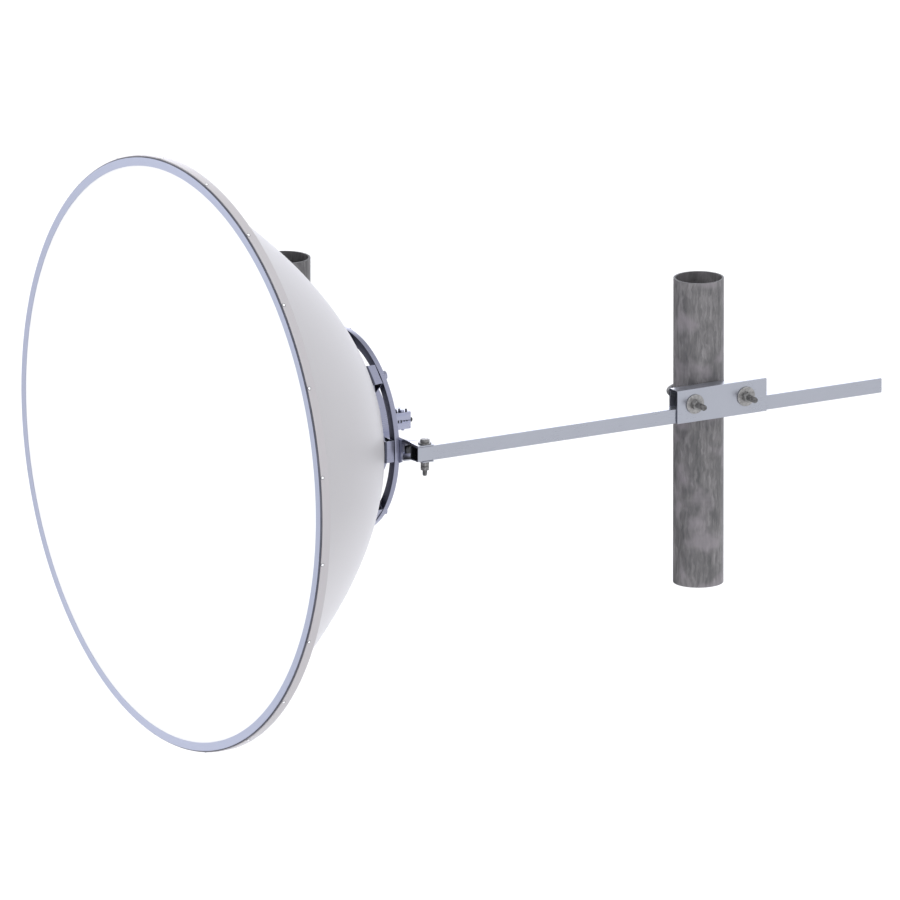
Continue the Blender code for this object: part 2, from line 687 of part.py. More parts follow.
def add_arm(name, side):
    """Square tube between the channel and a saddle, welded to a plate at each end."""
    z = side * ARM_Z
    inner_face = FRAME_X - FRAME_WIDTH / 2 - GAP
    outer_face = SADDLE_WEB_X + GAP
    half = ARM_SIDE / 2
    hollow = half - ARM_WALL
    start, end = outer_face + ARM_PLATE / 2, inner_face - ARM_PLATE / 2
    arm = extruded(
        name,
        [rectangle(-half, half, -half, half), rectangle(-hollow, hollow, -hollow, hollow)],
        end - start,
        COATED_STEEL,
        ((start + end) / 2, ARM_Y, z),
        ALONG_X,
    )
    width, height = ARM_INNER_PLATE_WIDTH / 2, ARM_INNER_PLATE_HEIGHT / 2
    inner_plate = box(
        f"{name}_inner_plate",
        (inner_face - ARM_PLATE, ARM_Y - width, z - height),
        (inner_face, ARM_Y + width, z + height),
        None,
    )
    saddle_low_y = MAIN_PIPE_Y - SADDLE_LENGTH / 2
    height = ARM_OUTER_PLATE_HEIGHT / 2
    outer_plate = box(
        f"{name}_outer_plate",
        (outer_face, saddle_low_y + GAP, z - height),
        (outer_face + ARM_PLATE, saddle_low_y + ARM_OUTER_PLATE_WIDTH, z + height),
        None,
    )
    for plate in (inner_plate, outer_plate):
        combine(arm, plate, "UNION")
    # The plates close the tube's ends, and a drain hole below opens its hollow.
    drill(
        arm, f"{name}_drain", DRAIN_RADIUS, -half - CUT_MARGIN, 0, ((start + end) / 2, ARM_Y, z)
    )


def add_saddle(name, side):
    """Short channel hollowed to fit the main pipe, with the U-bolt that clamps it."""
    low, high = sorted((side * SADDLE_LOW_Z, side * SADDLE_HIGH_Z))
    web_left = SADDLE_WEB_X - SADDLE_SHEET
    outline = [
        (SADDLE_WEB_X, low),
        (SADDLE_WEB_X, high),
        (SADDLE_FLANGE_X, high),
        (SADDLE_FLANGE_X, high - SADDLE_SHEET),
        (web_left, high - SADDLE_SHEET),
        (web_left, low + SADDLE_SHEET),
        (SADDLE_FLANGE_X, low + SADDLE_SHEET),
        (SADDLE_FLANGE_X, low),
    ]
    saddle = extruded(
        f"{name}_saddle", [outline], SADDLE_LENGTH, COATED_STEEL, (0, MAIN_PIPE_Y, 0), ALONG_Y
    )
    pipe_seat = tube(
        f"{name}_seat_cut", PIPE_RADIUS + GAP, 0, low - DEEP_CUT, high + DEEP_CUT, None,
        PIPE_SEGMENTS, (MAIN_PIPE_X, MAIN_PIPE_Y, 0),
    )
    combine(saddle, pipe_seat, "DIFFERENCE")
    z = side * MAIN_U_BOLT_Z
    for number, leg in enumerate((-1, 1), 1):
        drill(
            saddle, f"{name}_saddle_hole_{number}", U_BOLT_ROD + BOLT_CLEARANCE,
            web_left - CUT_MARGIN, SADDLE_WEB_X + CUT_MARGIN,
            (0, MAIN_PIPE_Y + leg * U_BOLT_LEG, z), TURNED_ALONG_X,
        )
    add_u_bolt(f"{name}_u_bolt", MAIN_PIPE_X, MAIN_PIPE_Y, z, SADDLE_WEB_X + U_BOLT_MAIN_TIP)


add_rim()
add_reflector()
add_hub_and_feed()
add_back_ring()
add_strut_bracket()
add_strut()
add_pipe("main_pipe", MAIN_PIPE_X, MAIN_PIPE_Y)
add_pipe("strut_pipe", STRUT_PIPE_X, STRUT_PIPE_Y)
add_strut_clamp()
add_frame()
for level, direction in (("upper", 1), ("lower", -1)):
    add_arm(f"{level}_arm", direction)
    add_saddle(level, direction)
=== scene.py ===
"""Looks of the parabolic dish antenna: camera, light, finishes and detailed pieces.

Metres. Each piece is drawn round the dish's own centre, the middle of its front plane, with
+Y backwards and +Z up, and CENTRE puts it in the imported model's place.
"""

import math

import bmesh
import bpy
from mathutils import Matrix, Quaternion, Vector


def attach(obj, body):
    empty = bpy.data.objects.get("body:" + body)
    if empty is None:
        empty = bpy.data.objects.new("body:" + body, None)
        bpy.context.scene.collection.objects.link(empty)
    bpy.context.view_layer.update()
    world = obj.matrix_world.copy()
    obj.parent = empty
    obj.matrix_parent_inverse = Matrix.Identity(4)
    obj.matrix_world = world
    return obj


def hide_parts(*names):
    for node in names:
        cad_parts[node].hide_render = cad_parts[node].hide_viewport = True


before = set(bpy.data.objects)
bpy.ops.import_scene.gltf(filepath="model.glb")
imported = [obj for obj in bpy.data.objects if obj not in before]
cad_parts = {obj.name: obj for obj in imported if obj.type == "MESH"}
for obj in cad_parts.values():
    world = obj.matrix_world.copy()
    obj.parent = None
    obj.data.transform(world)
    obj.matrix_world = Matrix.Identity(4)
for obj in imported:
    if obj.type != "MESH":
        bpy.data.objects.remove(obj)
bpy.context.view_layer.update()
CENTRE = Vector((0.381, -0.4382, 0.374))

# Dish
RIM_RADIUS, BAND_SHEET, BAND_FRONT_Y, BAND_BACK_Y, BAND_LIP_INNER = 0.600, 0.002, 0.0048, 0.0224, 0.588
FOCAL_LENGTH, VERTEX_Y, REFLECTOR_SHEET, REFLECTOR_HOLE, RIM_FLANGE_Y = 0.195, 0.429, 0.0025, 0.030, 0.022
RING_OUTER, RING_INNER, RING_SHEET = 0.5965, 0.580, 0.0012
GASKET_OUTER, GASKET_INNER = 0.5982, 0.590
COVER_FRONT_Y, COVER_BACK_Y = 0.0015, 0.0045
RIVET_COUNT, RIVET_Y, RIVET_START = 21, 0.0080, math.radians(13.04)

# Hub and feed
HUB_RADIUS, HUB_WALL, HUB_BACK_Y, HUB_SHEET = 0.116, 0.004, 0.4425, 0.0035
FEED_TUBE_RADIUS, FEED_TUBE_END_Y, FEED_Z = 0.0195, 0.487, 0.003
FEED_FLANGE_SHEET, FEED_BLOCK_END_Y = 0.010, 0.544

# Back ring, wedges and bracket
BACK_RING_OUTER, BACK_RING_INNER = 0.208, 0.188
BACK_RING_FRONT_Y, BACK_RING_BACK_Y = 0.3985, 0.409
WEDGE_COUNT, WEDGE_LENGTH, WEDGE_WALL = 8, 0.044, 0.0025
WEDGE_OUTER, WEDGE_INNER, WEDGE_SEAT = 0.2065, 0.166, 0.0008
RING_BOLT_RADIUS = 0.196
BRACKET_SHEET, PIVOT_Y, SHOE_X = 0.0025, 0.448, 0.2235

# Strut, clamp and pipes
STRUT_SIDE, STRUT_WALL, STRUT_X, STRUT_START_Y, STRUT_END_Y = 0.030, 0.0025, 0.241, 0.4235, 1.500
PIPE_RADIUS, PIPE_WALL, PIPE_TOP_Z, PIPE_FOOT_Z = 0.0508, 0.004, 0.256, -0.374
MAIN_PIPE_X, MAIN_PIPE_Y, STRUT_PIPE_X, STRUT_PIPE_Y = -0.381, 0.487, 0.1749, 1.121
CLAMP_START_Y, CLAMP_END_Y, CLAMP_TOP_Z, CLAMP_SHEET, CLAMP_BACK_X = 1.0215, 1.229, 0.0525, 0.004, 0.228
CLAMP_WASHER_RADIUS, STRUT_U_BOLT_Z = 0.020, 0.0215

# Frame between the main pipe and the back ring
FRAME_X, FRAME_WIDTH, FRAME_SHEET = -0.1386, 0.042, 0.005
ARM_Y, ARM_Z, ARM_SIDE, ARM_PLATE = 0.4345, 0.072, 0.036, 0.006
SADDLE_WEB_X, MAIN_U_BOLT_Z = -0.304, 0.112

# Fasteners: rod radius, width across flats, nut height, thread pitch
M12 = (0.006, 0.019, 0.010, 0.00175)
M10 = (0.005, 0.017, 0.008, 0.0015)
M8 = (0.004, 0.013, 0.0065, 0.00125)
U_BOLT_LEG, U_BOLT_STRUT_TIP, U_BOLT_MAIN_TIP = 0.0592, 0.040, 0.034

GAP = 0.0003
FINE_STEPS, PIPE_STEPS, SMALL_STEPS = 288, 96, 36
ALONG_X, ALONG_Y, ALONG_Z = Vector((1, 0, 0)), Vector((0, 1, 0)), Vector((0, 0, 1))


# ---------------------------------------------------------------- nodes

class Wire:
    """A node's output that takes part in Python sums; each sum adds a Math node."""

    def __init__(self, graph, socket):
        self.graph, self.socket = graph, socket

    def math(self, operation, *others):
        return self.graph.math(operation, self, *others)

    def __add__(self, other): return self.math("ADD", other)
    def __radd__(self, other): return self.math("ADD", other)
    def __sub__(self, other): return self.math("SUBTRACT", other)
    def __rsub__(self, other): return self.graph.math("SUBTRACT", other, self)
    def __mul__(self, other): return self.math("MULTIPLY", other)
    def __rmul__(self, other): return self.math("MULTIPLY", other)
    def __truediv__(self, other): return self.math("DIVIDE", other)
    def __pow__(self, other): return self.math("POWER", other)


class Made:
    """A node just made; its outputs come out as wires by name or number."""

    def __init__(self, graph, node):
        self.graph, self.node = graph, node

    def __getitem__(self, key):
        return Wire(self.graph, self.node.outputs[key])


class Graph:
    """A shader or geometry tree that is filled by calls."""

    def __init__(self, tree):
        self.tree = tree

    def node(self, kind, settings=None, inputs=None):
        node = self.tree.nodes.new(kind)
        for key, value in (settings or {}).items():
            if key == "stops":
                ramp = node.color_ramp
                while len(ramp.elements) < len(value):
                    ramp.elements.new(0.5)
                for stop, (position, colour) in zip(ramp.elements, value):
                    stop.position = position
                    stop.color = (*colour, 1) if len(colour) == 3 else colour
            else:
                setattr(node, key, value)
        for key, value in (inputs or {}).items():
            self.join(value, node.inputs[key])
        return Made(self, node)

    def join(self, value, socket):
        if isinstance(value, Made):
            value = value[0]
        if isinstance(value, Wire):
            self.tree.links.new(value.socket, socket)
        elif socket.type == "RGBA" and len(value) == 3:
            socket.default_value = (*value, 1)
        else:
            socket.default_value = value

    def math(self, operation, *values):
        return self.node("ShaderNodeMath", {"operation": operation}, dict(enumerate(values)))[0]

    def vector(self, operation, *values):
        return self.node("ShaderNodeVectorMath", {"operation": operation}, dict(enumerate(values)))[0]

    def split(self, vector):
        parts = self.node("ShaderNodeSeparateXYZ", {}, {0: vector})
        return parts[0], parts[1], parts[2]

    def joined(self, x, y, z):
        return self.node("ShaderNodeCombineXYZ", {}, {0: x, 1: y, 2: z})[0]

    def blend(self, factor, first, second, how="MIX"):
        settings = {"data_type": "RGBA", "blend_type": how, "clamp_factor": True}
        return self.node("ShaderNodeMix", settings, {0: factor, 6: first, 7: second})[2]

    def noise(self, place, scale, detail=3.0, roughness=0.5):
        inputs = {"Vector": place, "Scale": scale, "Detail": detail, "Roughness": roughness}
        return self.node("ShaderNodeTexNoise", {}, inputs)["Fac"]

    def between(self, value, low, high):
        """The value's place from low to high, held to 0 and 1 and eased."""
        settings = {"interpolation_type": "SMOOTHSTEP"}
        return self.node("ShaderNodeMapRange", settings, {0: value, 1: low, 2: high})[0]


def finish(name, paint, **fixed):
    """A material: paint wires what varies, and fixed holds the shader's plain values."""
    material = bpy.data.materials.new(name)
    material.use_nodes = True
    graph = Graph(material.node_tree)
    shader = material.node_tree.nodes["Principled BSDF"]
    for key, value in fixed.items():
        shader.inputs[key.replace("_", " ")].default_value = value
    place = graph.node("ShaderNodeTexCoord")["Object"]
    centred = graph.vector("SUBTRACT", place, tuple(CENTRE))
    for key, value in paint(graph, centred).items():
        graph.join(value, shader.inputs[key])
    return material


def bumped(graph, height, distance, strength=1.0):
    inputs = {"Height": height, "Distance": distance, "Strength": strength}
    return graph.node("ShaderNodeBump", {}, inputs)["Normal"]


def round_the_dish(graph, place):
    """Radius from the dish's axis and angle round it."""
    x, y, z = graph.split(place)
    return (x * x + z * z) ** 0.5, graph.math("ARCTAN2", x, z), y


def cover_paint(graph, place):
    x, _, z = graph.split(place)
    cloudy = graph.noise(place, 4.0)
    weave = graph.math("SINE", x * 3600) * graph.math("SINE", z * 3600)
    colour = graph.blend(cloudy, (0.91, 0.915, 0.925), (0.95, 0.95, 0.955))
    return {
        "Base Color": colour,
        "Roughness": graph.noise(place, 30.0) * 0.10 + 0.42,
        "Normal": bumped(graph, weave, 0.00002, 0.6),
    }


def ring_paint(graph, place):
    radius, angle, _ = round_the_dish(graph, place)
    drawn = graph.noise(graph.joined(radius * 900, angle * 5, 0.0), 1.0, 2.0)
    cloudy = graph.noise(place, 9.0)
    # Painted light: the ring's colour is lighter towards its top and its bottom.
    height = graph.split(place)[2] / RIM_RADIUS
    colour = graph.blend(height * height * 0.8 + cloudy * 0.2, (0.385, 0.412, 0.530), (0.460, 0.490, 0.630))
    return {
        "Base Color": colour,
        "Roughness": drawn * 0.16 + 0.32,
        "Normal": bumped(graph, drawn, 0.00004, 0.4),
    }


def band_paint(graph, place):
    radius, angle, y = round_the_dish(graph, place)
    drawn = graph.noise(graph.joined(y * 1400, angle * 4, radius * 900), 1.0, 3.0)
    cloudy = graph.noise(place, 7.0)
    colour = graph.blend(cloudy * 0.7 + drawn * 0.3, (0.445, 0.427, 0.447), (0.500, 0.480, 0.500))
    return {
        "Base Color": colour,
        "Roughness": drawn * 0.20 + 0.30,
        "Normal": bumped(graph, drawn, 0.00005, 0.5),
    }


def reflector_paint(graph, place):
    radius, _, _ = round_the_dish(graph, place)
    spun = graph.noise(graph.joined(radius * 260, 0.0, 0.0), 1.0, 2.0)
    peel = graph.noise(place, 420.0, 2.0)
    cloudy = graph.noise(place, 5.0, 4.0)
    colour = graph.blend(cloudy, (0.440, 0.430, 0.448), (0.478, 0.468, 0.486))
    # Painted light: the bowl's colour is lighter towards its bottom.
    low = graph.between(graph.split(place)[2], 0.03, -0.27)
    colour = graph.blend(low, colour, (0.540, 0.529, 0.548))
    return {
        "Base Color": colour,
        "Roughness": peel * 0.10 + cloudy * 0.08 + 0.34,
        "Normal": bumped(graph, peel * 0.5 + spun, 0.00008, 0.5),
    }


def gasket_paint(graph, place):
    grain = graph.noise(place, 700.0)
    dusty = graph.between(graph.noise(place, 14.0, 5.0), 0.45, 0.75)
    return {
        "Base Color": graph.blend(dusty, (0.075, 0.078, 0.104), (0.120, 0.122, 0.150)),
        "Roughness": grain * 0.15 + 0.62,
        "Normal": bumped(graph, grain, 0.00008, 0.6),
    }


def steel_paint(graph, place, dish_side_shade=1.0):
    """Smooth blue-grey coated steel: rolling lines along Y, soft clouds, a few scuffs.

    The coat is more lilac on the parts round the dish's axis, with painted shade that darkens
    them next to the reflector and on faces turned upwards; painted shade also darkens faces turned
    to the dish, a thin band where a wedge meets the reflector and the strut's inner walls.
    """
    radius, _, y = round_the_dish(graph, place)
    rolled = graph.noise(graph.vector("MULTIPLY", place, (600.0, 14.0, 600.0)), 1.0, 3.0)
    cloudy = graph.noise(place, 11.0, 4.0)
    scuffs = graph.between(graph.noise(graph.vector("MULTIPLY", place, (60.0, 90.0, 140.0)), 1.0, 6.0), 0.66, 0.78)
    colour = graph.blend(cloudy, (0.375, 0.392, 0.448), (0.425, 0.441, 0.500))
    # Painted shade: round the dish's axis the coat turns a darker lilac next to the reflector.
    lilac = graph.blend(graph.between(y, 0.45, 0.49), (0.300, 0.310, 0.410), (0.400, 0.415, 0.535))
    near = graph.between(radius, 0.2185, 0.2150) * graph.between(y, 0.60, 0.56)
    colour = graph.blend(near, colour, lilac)
    colour = graph.blend(scuffs * 0.15, colour, (0.58, 0.59, 0.62))
    _, forward, upward = graph.split(graph.node("ShaderNodeNewGeometry")["Normal"])
    # Painted shade: faces turned upwards near the dish's axis are darkened.
    colour = graph.blend(near * graph.between(upward, 0.70, 0.97) * 0.55, colour, (0.090, 0.094, 0.130))
    # Painted shade: faces turned towards the dish are darkened.
    colour = graph.blend(graph.between(forward, -0.75, -0.95) * 0.85 * dish_side_shade, colour, (0.052, 0.056, 0.085))
    # Painted contact shadow: dark on a thin band just behind the reflector, on the wedges' outer face.
    above = y + radius * radius / (4 * FOCAL_LENGTH) - VERTEX_Y
    foot = graph.between(above, 0.0072, 0.0060) * graph.between(radius, 0.2045, 0.2060)
    colour = graph.blend(foot * 0.9, colour, (0.045, 0.048, 0.070))
    x, _, z = graph.split(place)
    # Painted shade on the strut's inner walls, seen through its open front end.
    inside = STRUT_SIDE / 2 - STRUT_WALL
    bore = graph.between(y, STRUT_START_Y - 0.001, STRUT_START_Y)
    for offset in (x - STRUT_X, z):
        bore = bore * graph.between(graph.math("ABSOLUTE", offset), inside + 0.0005, inside + 0.0002)
    colour = graph.blend(bore * 0.85, colour, (0.014, 0.014, 0.020))
    return {
        "Base Color": colour,
        "Roughness": rolled * 0.05 + cloudy * 0.08 + scuffs * 0.10 + 0.22,
        "Normal": bumped(graph, rolled, 0.00002, 0.3),
    }


def bracket_paint(graph, place):
    """Coated steel with painted shade inside the shoe's throat and along the ear's edge, and a painted lighter tone on
    the foot next to the ring.
    """
    x, y, z = graph.split(place)
    paint = steel_paint(graph, place, graph.between(z, 0.006, 0.012))
    across = x - SHOE_X
    throat = graph.between((across * across + z * z) ** 0.5, 0.0163, 0.0158) * graph.between(x, 0.2245, 0.2225)
    # The near part of the throat is lit.
    throat = throat * graph.between(x + y * 1.7234, 0.9310, 0.9340)
    # Painted shade in the shoe's throat, in dark and lighter greys set by depth and height.
    deep = graph.between(y, 0.4180, 0.4200)
    shade = graph.blend(deep, (0.150, 0.152, 0.165), (0.012, 0.012, 0.018))
    shade = graph.blend(graph.between(y, 0.4232, 0.4252), shade, (0.120, 0.118, 0.112))
    shade = graph.blend(graph.between(z, 0.0035, 0.0075), shade, (0.010, 0.010, 0.015))
    colour = graph.blend(throat * graph.between(z, -0.0088, -0.0058), paint["Base Color"], shade)
    # Painted light: the foot next to the ring gets a lighter tone, brightest towards the bottom.
    foot = graph.between(y, 0.4150, 0.4130) * graph.between(x, 0.2035, 0.2060)
    pale = graph.blend(graph.between(z, -0.0035, -0.0065), (0.290, 0.298, 0.365), (0.400, 0.413, 0.500))
    colour = graph.blend(foot * (1.0 - throat) * 0.8, colour, pale)
    # Painted shade along the ear's edge: a dark line above a lighter strip.
    ear_edge_shade = graph.between(z, 0.0156, 0.0162) * graph.between(y, 0.4240, 0.4225) * graph.between(x, 0.2150, 0.2160)
    edge = graph.blend(graph.between(z, 0.0200, 0.0212), (0.150, 0.145, 0.180), (0.045, 0.046, 0.070))
    paint["Base Color"] = graph.blend(ear_edge_shade * 0.9, colour, edge)
    return paint


def zinc_paint(dark, light, rough=0.28):
    """Dull zinc on fasteners, from a darker to a lighter grey in patches."""
    middle = tuple((d + g) / 2 for d, g in zip(dark, light))

    def paint(graph, place):
        crystals = graph.node("ShaderNodeTexVoronoi", {}, {"Vector": place, "Scale": 620.0})["Color"]
        crystals = graph.split(crystals)[0]
        cloudy = graph.noise(place, 170.0, 5.0, 0.65)
        colour = graph.blend(graph.between(cloudy, 0.33, 0.66), dark, light)
        colour = graph.blend(crystals * 0.35, colour, middle)
        return {
            "Base Color": colour,
            "Roughness": cloudy * 0.25 + rough,
            "Metallic": cloudy * 0.2 + 0.55,
            "Normal": bumped(graph, cloudy, 0.0001, 0.5),
        }

    return paint


def galvanised_paint(graph, place):
    """Hot-dip galvanised pipe: fine upright feathering over soft clouds, warm and dark in places, with painted shade
    on the inner walls and the top ends.
    """
    warp = graph.noise(place, 34.0, 3.0)
    bent = graph.vector("ADD", place, graph.joined(warp * 0.012, warp * 0.012, 0.0))
    streaks = graph.noise(graph.vector("MULTIPLY", bent, (210.0, 210.0, 26.0)), 1.0, 6.0, 0.68)
    flakes = graph.node("ShaderNodeTexVoronoi", {"feature": "SMOOTH_F1"}, {
        "Vector": graph.vector("MULTIPLY", bent, (1.0, 1.0, 0.30)), "Scale": 130.0, "Smoothness": 0.35})["Color"]
    flakes = graph.split(flakes)[0]
    patches = graph.noise(graph.vector("MULTIPLY", place, (30.0, 30.0, 10.0)), 1.0, 4.0, 0.6)
    tone = streaks * 0.55 + flakes * 0.13 + patches * 0.45
    colour = graph.node("ShaderNodeValToRGB", {"stops": [
        (0.40, (0.088, 0.088, 0.092)),
        (0.55, (0.142, 0.138, 0.143)),
        (0.74, (0.262, 0.252, 0.260)),
    ]}, {"Fac": tone})["Color"]
    warm = graph.between(graph.noise(place, 15.0, 3.0), 0.48, 0.66)
    colour = graph.blend(warm * 0.50, colour, (0.310, 0.283, 0.310))
    x, y, _ = graph.split(place)
    # Painted shade on the pipes' inner walls, less in the side pipe.
    wall = PIPE_RADIUS - 0.25 * PIPE_WALL
    for axis_x, axis_y, bore_shade_share in ((MAIN_PIPE_X, MAIN_PIPE_Y, 0.52), (STRUT_PIPE_X, STRUT_PIPE_Y, 0.30)):
        reach = ((x - axis_x) * (x - axis_x) + (y - axis_y) * (y - axis_y)) ** 0.5
        colour = graph.blend(graph.between(reach, wall + 0.0006, wall) * bore_shade_share, colour, (0.012, 0.012, 0.014))
    # Painted shade: faces turned upwards, the pipes' top ends, are darkened.
    upward = graph.split(graph.node("ShaderNodeNewGeometry")["Normal"])[2]
    colour = graph.blend(graph.between(upward, 0.5, 0.9) * 0.85, colour, (0.030, 0.030, 0.032))
    return {
        "Base Color": colour,
        "Roughness": streaks * 0.20 + flakes * 0.08 + 0.38,
        "Metallic": patches * 0.15 + 0.25,
        "Normal": bumped(graph, streaks * 0.6 + flakes * 0.4, 0.0003, 0.35),
    }


def screw_paint(graph, place):
    """Blackened small screws."""
    cloudy = graph.noise(place, 240.0, 4.0)
    return {
        "Base Color": graph.blend(cloudy, (0.022, 0.023, 0.028), (0.070, 0.070, 0.078)),
        "Roughness": cloudy * 0.2 + 0.35,
    }


FINISHES = {
    "cover_white": finish("cover_white", cover_paint),
    "ring_paint": finish("ring_paint", ring_paint, Metallic=0.0),
    "gasket_rubber": finish("gasket_rubber", gasket_paint),
    "band_paint": finish("band_paint", band_paint),
    "reflector_paint": finish("reflector_paint", reflector_paint),
    "coated_steel": finish("coated_steel", steel_paint, Metallic=0.85),
    "bolt_zinc": finish("bolt_zinc", zinc_paint((0.120, 0.120, 0.122), (0.330, 0.328, 0.330))),
    "pipe_galvanised": finish("pipe_galvanised", galvanised_paint),
}
BLACK_SCREW = finish("black_screw", screw_paint, Metallic=0.6)
WASHER_ZINC = finish("washer_zinc", zinc_paint((0.215, 0.212, 0.214), (0.415, 0.409, 0.410)))
ROD_ZINC = finish("rod_zinc", zinc_paint((0.050, 0.050, 0.053), (0.230, 0.228, 0.232), 0.50))
NUT_ZINC = finish("nut_zinc", zinc_paint((0.135, 0.142, 0.138), (0.185, 0.192, 0.186)))
BRACKET_STEEL = finish("bracket_steel", bracket_paint, Metallic=0.85)


# ---------------------------------------------------------------- shapes

def facing(place, direction, turn=0.0):
    """Matrix that puts local Z along direction at place, turned about it."""
    aim = Vector((0, 0, 1)).rotation_difference(Vector(direction)).to_matrix().to_4x4()
    return Matrix.Translation(Vector(place)) @ aim @ Matrix.Rotation(turn, 4, "Z")


DISH_AXIS = facing((0, 0, 0), ALONG_Y)


def softened(outline, radii, steps=4):
    """The outline with its corners rounded; radii is one radius or one for each corner."""
    if isinstance(radii, (int, float)):
        radii = [radii] * len(outline)
    made = []
    for i, corner in enumerate(outline):
        here = Vector(corner).to_2d() if len(corner) == 3 else Vector(corner)
        before, after = Vector(outline[i - 1]), Vector(outline[(i + 1) % len(outline)])
        one, two = before - here, after - here
        radius = radii[i]
        if radius <= 0 or one.length < 1e-9 or two.length < 1e-9:
            made.append(tuple(here))
            continue
        half = one.angle(two) / 2
        reach = min(radius / math.tan(half), 0.49 * one.length, 0.49 * two.length)
        radius = reach * math.tan(half)
        middle = here + (one.normalized() + two.normalized()).normalized() * (radius / math.sin(half))
        start = here + one.normalized() * reach - middle
        end = here + two.normalized() * reach - middle
        sweep = start.angle_signed(end)
        for k in range(steps + 1):
            turn = -sweep * k / steps
            c, s = math.cos(turn), math.sin(turn)
            made.append((middle.x + start.x * c - start.y * s, middle.y + start.x * s + start.y * c))
    return made


def inset(outline, distance):
    """The outline moved inwards by a distance; it runs anticlockwise."""
    made = []
    for i, corner in enumerate(outline):
        here = Vector(corner)
        one = (here - Vector(outline[i - 1])).normalized()
        two = (Vector(outline[(i + 1) % len(outline)]) - here).normalized()
        normal = Vector((-one.y - two.y, one.x + two.x))
        if normal.length < 1e-9:
            made.append(tuple(here))
            continue
        normal.normalize()
        made.append(tuple(here + normal * distance / max(0.3, normal.dot(Vector((-one.y, one.x))))))
    return made


def rectangle(x0, x1, y0, y1):
    return [(x0, y0), (x1, y0), (x1, y1), (x0, y1)]


